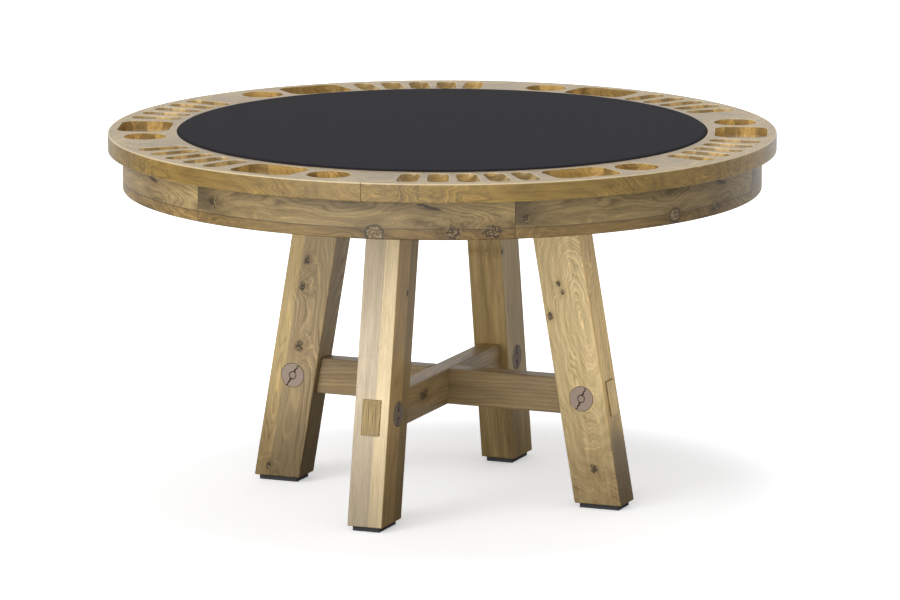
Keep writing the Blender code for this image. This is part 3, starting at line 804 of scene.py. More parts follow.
def rail_oak(colours, rail):
    """Golden oak of the rail: light cathedral lines and one eye of a knot past each seam."""
    top = RAIL_HIGH.z
    strip_width = 0.031

    def pockets_and_painted_light(g, wood, up, through):
        """Warm fresh-cut wood in the pockets in strips of its own; painted shade on the rail's
        side, a painted sheen on its top and pale painted highlights along its rounded edges and
        lips.
        """
        z = g.split(object_place(g))[2]
        out = from_axis(g)
        nz = face_direction(g)[2]
        within = (g.remap(out, rail.outer_radius - 0.006, rail.outer_radius - 0.009)
                  * g.remap(out, rail.inner_radius + 0.002, rail.inner_radius + 0.004))
        deep = within * g.remap(z, top - 0.001, top - 0.0018)
        strip = g.index_noise(g.math("FLOOR", through / strip_width))
        tint = g.mix(g.remap(strip, 0.30, 0.70), (0.98, 0.92, 0.84), (1.70, 1.60, 1.44))
        wood = g.stain(deep, wood, tint)
        # Painted shade with an olive tint: the rail's outer side is made darker than its top
        side = (g.remap(abs(nz), 0.5, 0.2)
                * g.remap(out, rail.outer_radius - 0.004, rail.outer_radius - 0.002))
        wood = g.stain(side, wood, (0.72, 0.66, 0.43))
        # Painted sheen: the flat top is made paler, as its satin finish looks where it reflects
        # the sky
        wood = g.stain(g.remap(nz, 0.97, 0.99), wood, (1.30, 1.26, 1.17))
        # Painted highlight: a pale band along the rounded top edges and the pockets' lips, where
        # the finish catches the light
        turned_up = g.remap(nz, 0.2, 0.45) * g.remap(nz, 0.985, 0.93)
        reach = g.remap(within, 0.0, 1.0, 0.0046, 0.0015)
        edges = turned_up * g.remap(z + reach, top - 0.0004, top)
        return g.mix(edges * 0.58, wood, (0.88, 0.75, 0.52))
    return oak("rail_oak", round_the_table(rail.seam, rail.outer_radius), colours.rail_light,
               colours.rail_dark, colours, pith=(RAIL_LOW.z - 0.03, 0.60, 0.02, 0.10),
               pitch=0.0066, swirl=0.050, swirl_size=(5.5, 20.0, 12.0), lines=0.95, shades=0.50,
               eyes=((0.040, 0.7425, 0.015, 0.0055),), boards=(0.579, 0.064), board_tone=0.12,
               tone=0.60, bands=0.35, seam_line=True, seed=2.0, roughness=0.34, shine=0.5,
               segment_tone=0.05, knot_warp=0.030, coat=0.12, finish=pockets_and_painted_light)


class BuildRail(bpy.types.Operator):
    """Six rail segments with five slots, a tray and a cup hole each"""
    bl_idname = "card_table.rail"
    bl_label = "Rail"

    def execute(self, context):
        rail = context.scene.card_table_rail
        low, top = RAIL_LOW.z, RAIL_HIGH.z
        outer, inner = rail.outer_radius, rail.inner_radius
        profile = [(inner, low)]
        profile += arc((inner + rail.inner_round, top - rail.inner_round), rail.inner_round,
                       180, 90, 3)
        profile += arc((outer - rail.edge_round, top - rail.edge_round), rail.edge_round, 90, 0, 6)
        profile += arc((outer - rail.edge_round / 2, low + rail.edge_round / 2),
                       rail.edge_round / 2, 0, -90, 3)
        sweep = SEGMENT_ANGLE - rail.seam_gap / inner
        blank = show("rail_blank", sector("rail_blank", profile, sweep, rail.steps))
        softened(blank, 0.0005, 1)
        blank.modifiers["edges"].angle_limit = math.radians(60)
        applied(blank)
        row = [show(mesh.name, mesh) for mesh in self.cutters(rail, top)]
        mesh = run_tree(blank, rail_row_tree(), {
            "Slot Cutter": row[0], "Tray Cutter": row[1], "Cup Cutter": row[2],
            "Groove Cutter": row[3], "Slots": rail.slots, "First Slot": rail.slot_first,
            "Slot Pitch": rail.slot_pitch, "Tray Angle": rail.tray_angle,
            "Cup Angle": rail.cup_angle, "Sweep": sweep, "Pocket Radius": rail.pocket_radius,
            "Finish": rail_oak(context.scene.card_table_colours, rail)})
        material = mesh.materials[-1]
        discard(row + [blank])
        for number in range(SEGMENTS):
            turn = rail.seam + SEGMENT_ANGLE * number + rail.seam_gap / inner / 2
            piece(f"oak_rail_{number + 1}", turned_about_z(mesh.copy(), turn), material, "table",
                  f"rail_segment_{number + 1}")
        return {"FINISHED"}

    @staticmethod
    def cutters(rail, top):
        """The shapes of a slot, the tray, the cup hole and a spline groove, at the axis."""
        rise = rail.slot_bore - rail.slot_depth
        size = rail.lip_round
        widest = math.acos((rise + size) / rail.slot_bore)
        turns = [math.radians(7) + (widest - math.radians(7)) * i / 9 for i in range(10)]
        half = rail.slot_bore * math.sin(widest)
        slot = [(rail.slot_bore * math.sin(t), top + rise - rail.slot_bore * math.cos(t))
                for t in turns[:-1]] + lip(half, size, top)
        tray = [(rail.tray_corner - rail.tray_cove + r, z) for r, z in
                arc((0, top - rail.tray_depth + rail.tray_cove), rail.tray_cove, -90, 0, 5)]
        tray += lip(rail.tray_corner, size, top)
        cup = [(rail.cup_radius - rail.cup_cove + r, z) for r, z in
               arc((0, top - rail.cup_depth + rail.cup_cove), rail.cup_cove, -90, 0, 4)]
        cup += lip(rail.cup_radius, size, top)
        low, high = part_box("rail_spline_1")
        groove = (0.1106, 0.0246, high.z - low.z + 0.0006)
        middle = Vector(((rail.inner_radius + rail.outer_radius) / 2, 0, (low.z + high.z) / 2))
        return [pocket("slot_cutter", (rail.slot_length / 2 - half, 0), slot),
                pocket("tray_cutter", (rail.tray_length / 2 - rail.tray_corner,
                                       rail.tray_width / 2 - rail.tray_corner), tray),
                pocket("cup_cutter", (0, 0), cup),
                box_mesh("groove_cutter", groove, middle)]


# ---------------------------------------------------------------- apron

def apron_tree():
    """Node tree that sweeps a round-edged board along an arc."""
    tree, g, inputs = new_tree("apron_sweep", (
        ("Radius", "Float"), ("Sweep", "Float"), ("Steps", "Int"), ("Thickness", "Float"),
        ("Height", "Float"), ("Middle Height", "Float"), ("Edge Round", "Float"),
        ("Finish", "Material")))
    path = g.out("GeometryNodeCurveArc", [
        ("Resolution", inputs["Steps"]), ("Radius", inputs["Radius"] - inputs["Thickness"] * 0.5),
        ("Start Angle", 0.0), ("Sweep Angle", inputs["Sweep"])], mode="RADIUS")
    upright = g.out("GeometryNodeSetCurveNormal", [("Curve", path)], mode="Z_UP")
    board = g.out("GeometryNodeCurvePrimitiveQuadrilateral", [
        ("Width", inputs["Thickness"]), ("Height", inputs["Height"])], mode="RECTANGLE")
    eased = g.node("GeometryNodeFilletCurve", [("Curve", board), ("Radius", inputs["Edge Round"])])
    if hasattr(eased, "mode"):
        eased.mode = "POLY"
    eased.inputs["Count"].default_value = 4
    sweep = g.out("GeometryNodeCurveToMesh", [
        ("Curve", upright), ("Profile Curve", eased.outputs[0]), ("Fill Caps", True)])
    lifted = g.out("GeometryNodeTransform", [
        ("Geometry", sweep), ("Translation", g.combine(0.0, 0.0, inputs["Middle Height"]))])
    end_tree(g, lifted, inputs["Finish"])
    return tree


def apron_oak(colours, rail):
    """Greyer oak of the apron: an upper and a lower board, knots and fine cracks."""
    return oak("apron_oak", round_the_table(rail.apron_seam, rail.apron_radius),
               colours.apron_light, colours.apron_dark, colours,
               pith=(APRON_LOW.z - 0.05, 0.58, 0.04, 0.08), pitch=0.0105, swirl=0.06,
               swirl_size=(4.6, 15.0, 9.0), lines=0.62, shades=0.70, bands=0.35,
               knots=((0.044, 0.690, 0.014, 0.012, 4), (0.300, 0.702, 0.009, 0.007, 1),
                      (0.566, 0.660, 0.019, 0.012, 4), (0.642, 0.660, 0.022, 0.013, 4),
                      (0.022, 0.684, 0.009, 0.008, 5), (0.500, 0.662, 0.013, 0.008, 5),
                      (0.150, 0.680, 0.011, 0.009, 2), (0.470, 0.690, 0.010, 0.008, 0)),
               ring_knots=((0.410, 0.656, 0.0185, 0.0180, 4), (0.240, 0.660, 0.012, 0.011, 1),
                           (0.366, 0.664, 0.014, 0.014, 5)),
               lower_tint=(0.80, 0.73, 0.61), pale_segment=3,
               cracks=((0.525, 0.7090, 0.019, 0.0030, -0.16),
                       (0.506, 0.7145, 0.014, 0.0022, -0.1)),
               split=APRON_LOW.z + 0.022, board_tone=0.10, tone=1.0, seam_line=True, seed=11.0,
               roughness=0.40, segment_tone=0.03, dark_end=0.085, knot_warp=0.022, coat=0.08)


class BuildApron(bpy.types.Operator):
    """Six curved apron segments"""
    bl_idname = "card_table.apron"
    bl_label = "Apron"

    def execute(self, context):
        rail = context.scene.card_table_rail
        inner = rail.apron_radius - rail.apron_thickness
        low, top = APRON_LOW.z, APRON_HIGH.z
        gap = rail.seam_gap / inner
        blank = show("apron_blank", bpy.data.meshes.new("apron_blank"))
        mesh = run_tree(blank, apron_tree(), {
            "Radius": rail.apron_radius, "Sweep": SEGMENT_ANGLE - gap, "Steps": rail.steps,
            "Thickness": rail.apron_thickness, "Height": top - low,
            "Middle Height": (top + low) / 2, "Edge Round": rail.apron_round,
            "Finish": apron_oak(context.scene.card_table_colours, rail)})
        material = mesh.materials[-1]
        shape = bmesh.new()
        shape.from_mesh(mesh)
        mesh = smoothed(closed_mesh("apron", shape))
        discard([blank])
        for number in range(SEGMENTS):
            turn = rail.apron_seam + SEGMENT_ANGLE * number + gap / 2
            piece(f"oak_apron_{number + 1}", turned_about_z(mesh.copy(), turn), material, "table",
                  f"apron_segment_{number + 1}")
        return {"FINISHED"}


# ---------------------------------------------------------------- base

def leg_radius(base, height):
    """Distance of a leg's centre line from the axis at a height."""
    return base.leg_foot - math.tan(base.leg_lean) * height


def half_depth(base):
    """Half of a leg's depth, measured level."""
    return base.leg_depth / math.cos(base.leg_lean) / 2


def rod_mesh(name, profile, place_x, height):
    """A turned piece along Y through a leg."""
    mesh = turned(name, profile, 64)
    mesh.transform(Matrix.Translation((place_x, 0, height)) @ Matrix.Rotation(QUARTER, 4, "X"))
    return mesh


def leg_finishes(base, colours):
    """One oak for each leg, as each is glued from boards of its own."""
    def boards(first, second, where, axis):
        """The leg is two boards: one colour below a line across it, another above."""
        def pick(g, wood, up, through, streak):
            side = (up if axis == "width" else through) > where
            below, above = (g.mix(g.remap(streak, 0.3, 0.7), times(0.86, board), board)
                            for board in (first, second))
            return g.mix(0.78, wood, g.mix(side, below, above))
        return pick

    def front_side(g, wood, up, through):
        """The side of the front leg shows two browner boards."""
        side = up > base.leg_width / 2 - 0.0012
        brown = g.mix(through > -0.011, (0.4, 0.34, 0.23), (0.64, 0.53, 0.35))
        return g.stain(side, wood, brown)

    def right_side(g, wood, up, through):
        """The outer side of the right leg is golden above and stained dark towards its foot."""
        z = g.split(object_place(g))[2]
        out = through > half_depth(base) - 0.0012
        stain = g.noise(g.combine(up, through, z), (14.0, 14.0, 7.0), 3.0, 3.0, 0.6)
        low = g.remap(z, 0.24, 0.06) + (stain - 0.5)
        tint = g.mix(g.remap(low, 0.15, 0.75), (1.20, 1.10, 0.90), (0.60, 0.56, 0.50))
        return g.stain(out, wood, tint)

    brown = (0.33, 0.24, 0.125)
    gold = (0.50, 0.36, 0.155)
    looks = {
        "front": dict(two_tone=boards(colours.grey, colours.cream, 0.0076, "width"),
                      finish=front_side, foot_shade=0.62, lines=0.10, shades=0.24, bands=0.2,
                      swirl=0.004, pitch=0.006, fibre=0.26, tone=0.15, pith=(0.35, 0.0, 0.01, 0.0),
                      knots=((0.47, -0.005, 0.006, 0.005), (0.60, 0.020, 0.010, 0.008)),
                      knot_warp=0.004),
        "left": dict(two_tone=boards(brown, gold, 0.020, "depth"), foot_shade=0.9, lines=0.55,
                     shades=0.62, swirl=0.022, patchy=(0.38, 0.52), pitch=0.0078, tone=0.5,
                     pith=(-0.10, 0.02, 0.04, 0.16),
                     knots=((0.475, 0.0075, 0.009, 0.006), (0.419, 0.009, 0.009, 0.007),
                            (0.292, -0.004, 0.012, 0.009), (0.034, 0.022, 0.009, 0.006)),
                     knot_warp=0.022),
        "right": dict(finish=right_side, foot_shade=1.0, lines=0.55, shades=0.55, swirl=0.019,
                      swirl_size=(10.0, 30.0, 30.0), pitch=0.0040, tone=0.60,
                      pith=(-0.158, 0.018, 0.30, 0.03),
                      knots=((0.465, -0.010, 0.006, 0.004), (0.448, -0.004, 0.005, 0.004),
                             (0.398, -0.040, 0.008, 0.006), (0.085, 0.004, 0.011, 0.008)),
                      knot_warp=0.010),
        "back": dict(foot_shade=0.5, lines=0.22, shades=0.30, swirl=0.016, pitch=0.0085, tone=0.9,
                     pith=(-0.14, -0.06, 0.03, 0.02), knots=((0.47, -0.045, 0.006, 0.005),),
                     knot_warp=0.006),
    }
    finishes = {}
    for index, name in enumerate(LEG_NAMES):
        light, dark = colours.leg_light, colours.leg_dark
        if name == "back":
            light, dark = (0.60, 0.44, 0.19), (0.31, 0.215, 0.09)
        finishes[name] = oak(f"leg_oak_{name}", along_the_leg(QUARTER * index, base),
                             light, dark, colours, seed=20.0 + 7 * index, roughness=0.45,
                             **looks[name])
    return finishes


class BuildLegs(bpy.types.Operator):
    """Four leaning legs, with a mortise and a peg hole through each"""
    bl_idname = "card_table.legs"
    bl_label = "Legs"

    def execute(self, context):
        base = context.scene.card_table_base
        half = half_depth(base)
        shape = bmesh.new()
        bmesh.ops.create_cube(shape, size=1.0)
        for corner in shape.verts:
            height = LEG_HIGH.z if corner.co.z > 0 else LEG_LOW.z
            radius = leg_radius(base, height) + math.copysign(half, corner.co.x)
            corner.co = (radius, math.copysign(base.leg_width / 2, corner.co.y), height)
        leg = show("leg_blank", closed_mesh("leg", shape))
        softened(leg, base.leg_edge)
        middle = base.stretcher_top - base.stretcher_height / 2
        centre = leg_radius(base, middle)
        mortise = (0.3, base.tenon_width + 2 * base.fit, base.tenon_height + 2 * base.fit)
        bore = base.peg_radius + base.fit
        edge = 0.0009
        mouth = base.leg_width / 2
        bore_profile = [(0, mouth + 0.01), (bore + edge + 0.01, mouth + 0.01),
                        (bore, mouth - edge), (bore, -mouth + edge),
                        (bore + edge + 0.01, -mouth - 0.01), (0, -mouth - 0.01)]
        tools = [combined(leg, box_mesh("mortise", mortise, (centre, 0, middle))),
                 combined(leg, rod_mesh("peg_bore", bore_profile, centre, middle))]
        mesh = applied(leg)
        discard(tools + [leg])
        finishes = leg_finishes(base, context.scene.card_table_colours)
        for index, name in enumerate(LEG_NAMES):
            piece(f"oak_leg_{name}", turned_about_z(mesh.copy(), QUARTER * index),
                  finishes[name], "table", f"leg_{name}")
        return {"FINISHED"}


class BuildStretchers(bpy.types.Operator):
    """Two half-lapped stretchers with through tenons"""
    bl_idname = "card_table.stretchers"
    bl_label = "Stretchers"

    def execute(self, context):
        base = context.scene.card_table_base
        colours = context.scene.card_table_colours
        half = half_depth(base)
        top = base.stretcher_top
        low = top - base.stretcher_height
        middle = (top + low) / 2
        centre = leg_radius(base, middle)
        mouth = base.leg_width

        def shoulder(height):
            return leg_radius(base, height) - half - base.fit

        def tenon_end(height):
            return leg_radius(base, height) + half + base.tenon_proud

        def cut_ends(g, wood, up, through):
            """Upright grain on the tenons' cut ends, paler on the left and right ones."""
            tone = 1.0 if index else 2.5
            nx, ny, _ = face_direction(g)
            x, y, _ = g.split(object_place(g))
            far = g.remap(from_axis(g), 0.31, 0.33)
            outwards = (nx * x + ny * y) / g.vector("LENGTH", g.combine(x, y, 0.001))
            facing = g.remap(outwards, 0.7, 0.9) * far
            stripes = g.noise(g.combine(through, up), (420.0, 16.0, 1.0), 4.0, 3.0)
            end = g.mix(g.remap(stripes, 0.36, 0.62), times(0.55 * tone, colours.tenon),
                        times(1.20 * tone, colours.tenon))
            return g.mix(facing, wood, end)

        for index, name in enumerate(("left_right", "front_back")):
            bar = show("bar_blank", bar_mesh("bar", shoulder, base.stretcher_width, low, top))
            softened(bar, base.stretcher_edge)
            tenon = show("tenon_blank", bar_mesh("tenon", tenon_end, base.tenon_width,
                                                 middle - base.tenon_height / 2,
                                                 middle + base.tenon_height / 2))
            softened(tenon, base.tenon_edge, 2)
            joined = combined(bar, applied(tenon), "UNION")
            side = 1 if index == 0 else -1
            notch = base.stretcher_width + 2 * base.fit
            tools = [joined, tenon, combined(bar, box_mesh(
                "notch", (notch, notch, base.stretcher_height),
                (0, 0, middle + side * (base.stretcher_height / 2 - base.fit / 2))))]
            bore = base.peg_radius + base.fit
            for way in (1, -1):
                profile = [(0, mouth), (bore, mouth), (bore, -mouth), (0, -mouth)]
                tools.append(combined(bar, rod_mesh("peg_bore", profile, way * centre, middle)))
            mesh = applied(bar)
            discard(tools + [bar])
            light = 1.35 if index == 0 else 1.9
            finish = oak(f"stretcher_oak_{name}", along_the_bar(QUARTER * index),
                         times(light, colours.stretcher),
                         times(0.5 * light, colours.stretcher), colours,
                         pith=(0.10, -0.05, 0.02, 0.01), pitch=0.0085, swirl=0.008, lines=0.42,
                         shades=0.45, tone=1.1, seed=70.0 + 9 * index, roughness=0.40,
                         knots=((-0.150, 0.236, 0.020, 0.011),) if index else (),
                         knot_warp=0.012, finish=cut_ends)
            piece(f"oak_stretcher_{name}", turned_about_z(mesh, QUARTER * index), finish,
                  "table", f"stretcher_{name}")
        return {"FINISHED"}


def peg_oak(tone, base, turn):
    """End grain of a peg: close rings about its pith, rays across them."""
    material, g, shader = new_material("peg_end_grain", 0.6, Specular_IOR_Level=0.3)
    middle = base.stretcher_top - base.stretcher_height / 2
    x, y, z = g.split(object_place(g, turn))
    across = x - leg_radius(base, middle)
    up = z - middle
    spot = g.combine(across, up, y)
    wobble = g.noise(spot, (90, 90, 8), 3.0, 2.0)
    away = g.vector("LENGTH", g.combine(across, up, 0.0)) + wobble * 0.004
    rings = g.remap(g.math("PINGPONG", away / 0.0022, 0.5), 0.15, 0.5)
    turn_round = g.math("ARCTAN2", up, across)
    rays = g.noise(g.combine(turn_round * 12.0, away * 60.0, 0.0), (1.0, 1.0, 1.0), 1.0, 2.0)
    speck = g.noise(spot, (900, 900, 30), 5.0, 2.0)
    wood = g.mix(rings, times(0.88, tone), times(1.12, tone))
    wood = g.mix(g.remap(rays, 0.52, 0.75, 0.0, 0.35), wood, times(0.7, tone))
    wood = g.mix(g.remap(speck, 0.55, 0.7, 0.0, 0.3), wood, times(0.55, tone))
    heart = g.remap(away, 0.0095, 0.0065)
    wood = g.mix(heart * 0.35, wood, (0.3, 0.21, 0.13))
    ring = g.remap(away, 0.0078, 0.009) * g.remap(away, 0.0112, 0.0098)
    wood = g.mix(ring * 0.55, wood, (0.08, 0.055, 0.04))
    edge = g.remap(away, 0.0262, 0.0272)
    wood = g.mix(edge * 0.5, wood, (0.16, 0.115, 0.08))
    # Painted shade: the walls of the cracks and the pith groove, below the peg's end, are painted
    # near black
    inside = g.remap(abs(y), base.leg_width / 2 - 0.0003, base.leg_width / 2 - 0.0012)
    wood = g.mix(inside * 0.9, wood, (0.02, 0.013, 0.009))
    g.paint(shader, wood, rings + speck, 0.3, 0.0003)
    return material


class BuildPegs(bpy.types.Operator):
    """Four pegs through the legs, each with drying cracks and a ring round its pith"""
    bl_idname = "card_table.pegs"
    bl_label = "Pegs"

    def execute(self, context):
        base = context.scene.card_table_base
        colours = context.scene.card_table_colours
        middle = base.stretcher_top - base.stretcher_height / 2
        centre = leg_radius(base, middle)
        end = base.leg_width / 2
        radius, edge = base.peg_radius, base.peg_edge
        half = arc((radius - edge, end - edge), edge, 90, 0, 3)
        profile = [(0, end)] + half + [(r, -z) for r, z in reversed(half)] + [(0, -end)]
        ring = [(0.0066, 0.0), (0.0076, 0.0015), (0.0086, 0.0), (0.0076, -0.0015)]
        turns = [math.tau * i / 40 for i in range(40)]
        for index, name in enumerate(LEG_NAMES):
            peg = show("peg_blank", rod_mesh("peg", profile, centre, middle))
            tools = []
            lean = math.radians(62 + (0, 25, -8, 12)[index])
            for side in (1, -1):
                for way in (1, -1):
                    wide = base.crack_width * (1.9 if index % 2 else 1.15)
                    tools.append(combined(peg, self.crack(base, wide, lean, way, side, centre,
                                                          middle)))
                groove = loft("pith_ring", [[(r * math.cos(t) * (1 + 0.06 * math.sin(3 * t)),
                                              r * math.sin(t), z) for r, z in ring]
                                            for t in turns], closed=True)
                groove.transform(Matrix.Translation((centre, side * end, middle))
                                 @ Matrix.Rotation(QUARTER, 4, "X"))
                tools.append(combined(peg, groove))
            mesh = applied(peg)
            discard(tools + [peg])
            turn = QUARTER * index
            share = 0.62 if index % 2 else 1.0
            finish = peg_oak(times(share, colours.peg), base, turn)
            piece(f"oak_peg_{name}", turned_about_z(mesh, turn), finish, "table",
                  f"leg_peg_{name}")
        return {"FINISHED"}

    @staticmethod
    def crack(base, width, lean, way, side, centre, middle):
        """A jagged wedge from the pith ring to the rim, on one end of the peg."""
        steps = 7
        first, stray, above = 0.0068, 0.0016, 0.002
        rings = []
        for i in range(steps + 1):
            out = way * (first + (base.peg_radius + 0.001 - first) * i / steps)
            drift = stray * math.sin(2.4 * i + way) + way * stray
            wide = width * (0.85 - 0.08 * i + 0.30 * math.sin(1.7 * i + 1) ** 2)
            rings.append([(out, drift - wide / 2, above), (out, drift + wide / 2, above),
                          (out, drift + wide / 6, -base.crack_depth),
                          (out, drift - wide / 6, -base.crack_depth)])
        mesh = loft("crack", rings)
        flip = Matrix.Rotation(-QUARTER * side, 4, "X")
        mesh.transform(Matrix.Translation((centre, side * base.leg_width / 2, middle))
                       @ flip @ Matrix.Rotation(lean, 4, "Z"))
        return mesh


class BuildFeet(bpy.types.Operator):
    """Four rubber feet"""
    bl_idname = "card_table.feet"
    bl_label = "Feet"

    def execute(self, context):
        base = context.scene.card_table_base
        colours = context.scene.card_table_colours
        material, g, shader = new_material("foot_rubber", 0.7)
        place = object_place(g)
        grain = g.noise(place, (700, 700, 700), 1.0, 3.0)
        dust = g.noise(place, (60, 60, 60), 4.0, 3.0)
        black = g.mix(g.remap(dust, 0.45, 0.8, 0.0, 0.35), colours.rubber, (0.07, 0.07, 0.072))
        g.paint(shader, black, grain, 0.4, 0.0003)
        size, middle = PAD_HIGH - PAD_LOW, (PAD_HIGH + PAD_LOW) / 2
        low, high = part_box("foot_screw_right")
        hole = (high.y - low.y) / 2 + base.fit
        pad = show("pad_blank", box_mesh("pad", size, middle))
        softened(pad, base.pad_edge)
        profile = [(0, PAD_HIGH.z + 0.01), (hole, PAD_HIGH.z + 0.01), (hole, -0.01), (0, -0.01)]
        tool = combined(pad, turned("screw_hole", profile, 32,
                                    ((low.x + high.x) / 2, (low.y + high.y) / 2, 0)))
        mesh = applied(pad)
        discard([tool, pad])
        for index, name in enumerate(LEG_NAMES):
            piece(f"rubber_foot_{name}", turned_about_z(mesh.copy(), QUARTER * index), material,
                  "table", f"foot_pad_{name}")
        return {"FINISHED"}


# ---------------------------------------------------------------- playing panel

def cloth_skin(radius, top, bottom, edge, sectors):
    """An open skin over the panel: a disc, a rolled edge and a skirt, as rings about a pole."""
    steps = 22
    profile = [((radius - edge) * i / steps, top) for i in range(1, steps + 1)]
    profile += arc((radius - edge, top - edge), edge, 90, 0, 6)[1:]
    profile += [(radius, top - edge + (bottom - top + edge) * i / 5) for i in range(1, 6)]
    shape = bmesh.new()
    pole = shape.verts.new((0, 0, top))
    rows = [[shape.verts.new((r * math.cos(math.tau * i / sectors),
                              r * math.sin(math.tau * i / sectors), z)) for i in range(sectors)]
            for r, z in profile]
    for i in range(sectors):
        shape.faces.new((pole, rows[0][i], rows[0][(i + 1) % sectors]))
    for first, second in zip(rows, rows[1:]):
        for i in range(sectors):
            shape.faces.new((first[i], second[i], second[(i + 1) % sectors],
                             first[(i + 1) % sectors]))
    mesh = bpy.data.meshes.new("cloth_skin")
    shape.to_mesh(mesh)
    shape.free()
    return mesh


def swell(thing, held, crown, frames=16):
    """Let the cloth settle over its padding, then scale the swelling to the crown."""
    group = thing.vertex_groups.new(name="held")
    group.add(held, 1.0, "REPLACE")
    cloth = thing.modifiers.new("cloth", "CLOTH")
    settings = cloth.settings
    settings.vertex_group_mass = "held"
    settings.use_pressure = True
    settings.uniform_pressure_force = 1.2
    settings.tension_stiffness = 60
    settings.compression_stiffness = 60
    settings.bending_stiffness = 4
    settings.quality = 6
    settings.effector_weights.gravity = 0
    cloth.point_cache.frame_start = 1
    cloth.point_cache.frame_end = frames
    scene = bpy.context.scene
    rest = [vert.co.copy() for vert in thing.data.vertices]
    for number in range(1, frames + 1):
        scene.frame_set(number)
    graph = bpy.context.evaluated_depsgraph_get()
    moved = [vert.co.copy() for vert in thing.evaluated_get(graph).data.vertices]
    thing.modifiers.clear()
    thing.vertex_groups.clear()
    scene.frame_set(1)
    largest = max((now - then).length for now, then in zip(moved, rest)) or 1.0
    share = min(1.0, crown / largest)
    for vert, now, then in zip(thing.data.vertices, moved, rest):
        vert.co = then + (now - then) * share


def playing_cloth(colours):
    """Close-woven wool cloth."""
    material, g, shader = new_material("playing_cloth", 0.95, Specular_IOR_Level=0.08,
                                       Sheen_Weight=0.03, Sheen_Roughness=0.5)
    place = object_place(g)
    thread = 0.0011
    x, y, _ = g.split(place)
    weave = g.math("PINGPONG", x / thread, 0.5) * g.math("PINGPONG", y / thread, 0.5)
    nap = g.noise(place, (900, 900, 900), 1.0, 3.0, 0.7)
    cloud = g.noise(place, (9, 9, 9), 6.0, 3.0)
    shade = nap * 0.3 + cloud * 0.14 + weave * 0.35 + 0.7
    wool = g.tint(colours.cloth, g.grey(shade))
    g.paint(shader, wool, weave * 2.0 + nap, 0.35, 0.0003)
    return material


def foam_finish():
    """Pale open-cell foam."""
    material, g, shader = new_material("foam", 0.95)
    place = object_place(g)
    cells = g.out("ShaderNodeTexVoronoi", [("Vector", place), ("Scale", 420.0)], "Distance")
    tint = g.noise(place, (30, 30, 30), 2.0, 3.0)
    pale = g.mix(tint, (0.56, 0.54, 0.46), (0.70, 0.68, 0.60))
    g.paint(shader, pale, cells, 0.6, 0.0006)
    return material


class BuildPanel(bpy.types.Operator):
    """The padded playing panel: cloth drawn over foam on a plywood board"""
    bl_idname = "card_table.panel"
    bl_label = "Playing panel"

    def execute(self, context):
        panel = context.scene.card_table_panel
        colours = context.scene.card_table_colours
        radius, top, bottom = CLOTH_HIGH.x, CLOTH_HIGH.z, CLOTH_LOW.z
        edge = panel.edge_round
        cloth = show("cloth_blank", cloth_skin(radius, top, bottom, edge, panel.sectors))
        held = [vert.index for vert in cloth.data.vertices if vert.co.z < top - edge * 0.5]
        swell(cloth, held, panel.crown)
        wall = cloth.modifiers.new("wall", "SOLIDIFY")
        wall.thickness = panel.cloth_thickness
        wall.offset = -1.0
        wall.use_rim = True
        wall.use_even_offset = True
        mesh = applied(cloth, SOFT_SHARP)
        discard([cloth])
        cover = piece("wool_cloth", mesh, playing_cloth(colours), "playing_panel",
                      "cloth_cover")

        core = FOAM_HIGH.x
        roll = edge - panel.cloth_thickness
        profile = [(0, FOAM_HIGH.z)] + arc((core - roll, FOAM_HIGH.z - roll), roll, 90, 0, 6)
        profile += arc((core - 0.001, FOAM_LOW.z + 0.001), 0.001, 0, -90, 2) + [(0, FOAM_LOW.z)]
        mesh = smoothed(turned("foam", profile, panel.sectors), SOFT_SHARP)
        foam = piece("foam_disc", mesh, foam_finish(), "playing_panel", "foam_pad")

        edge = 0.0012
        core = BOARD_HIGH.x
        profile = [(0, BOARD_HIGH.z)]
        profile += arc((core - edge, BOARD_HIGH.z - edge), edge, 90, 0, 2)
        profile += arc((core - edge, BOARD_LOW.z + edge), edge, 0, -90, 2) + [(0, BOARD_LOW.z)]
        mesh = smoothed(turned("board", profile, panel.sectors), SOFT_SHARP)
        piece("plywood_board", mesh, plywood("panel_plywood", BOARD_LOW.z), "playing_panel",
              "playing_board")
        return {"FINISHED"}


# ---------------------------------------------------------------- hidden parts

class FinishHidden(bpy.types.Operator):
    """Finishes of the deck, bearers, blocks, splines and screws"""
    bl_idname = "card_table.hidden"
    bl_label = "Hidden parts"

    def execute(self, context):
        pine = ((0.60, 0.44, 0.26), (0.46, 0.31, 0.16))
        beech = ((0.66, 0.50, 0.33), (0.55, 0.38, 0.23))
        steel, g, shader = new_material("zinc_steel", 0.35, Metallic=1.0)
        brushed = g.noise(object_place(g), (400, 400, 90), 1.0, 3.0)
        grey = g.mix(brushed, (0.46, 0.46, 0.45), (0.68, 0.68, 0.66))
        g.paint(shader, grey, brushed, 0.15, 0.0002)
        finishes = {
            "deck": plywood("deck_plywood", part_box("deck")[0].z),
            "bearer_left_right": plain_wood("pine_across", *pine, (2.0, 22.0, 22.0)),
            "bearer_front_back": plain_wood("pine_along", *pine, (22.0, 2.0, 22.0)),
            "apron_block": plain_wood("pine_block", *pine, (22.0, 22.0, 3.0)),
            "rail_spline": plain_wood("beech", *beech, (20.0, 20.0, 6.0)),
            "foot_screw": steel, "leg_bolt": steel, "deck_screw": steel,
        }
        for name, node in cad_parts.items():
            for start, material in finishes.items():
                if name.startswith(start):
                    for holder in node.material_slots:
                        holder.material = material
        return {"FINISHED"}


# ---------------------------------------------------------------- stage

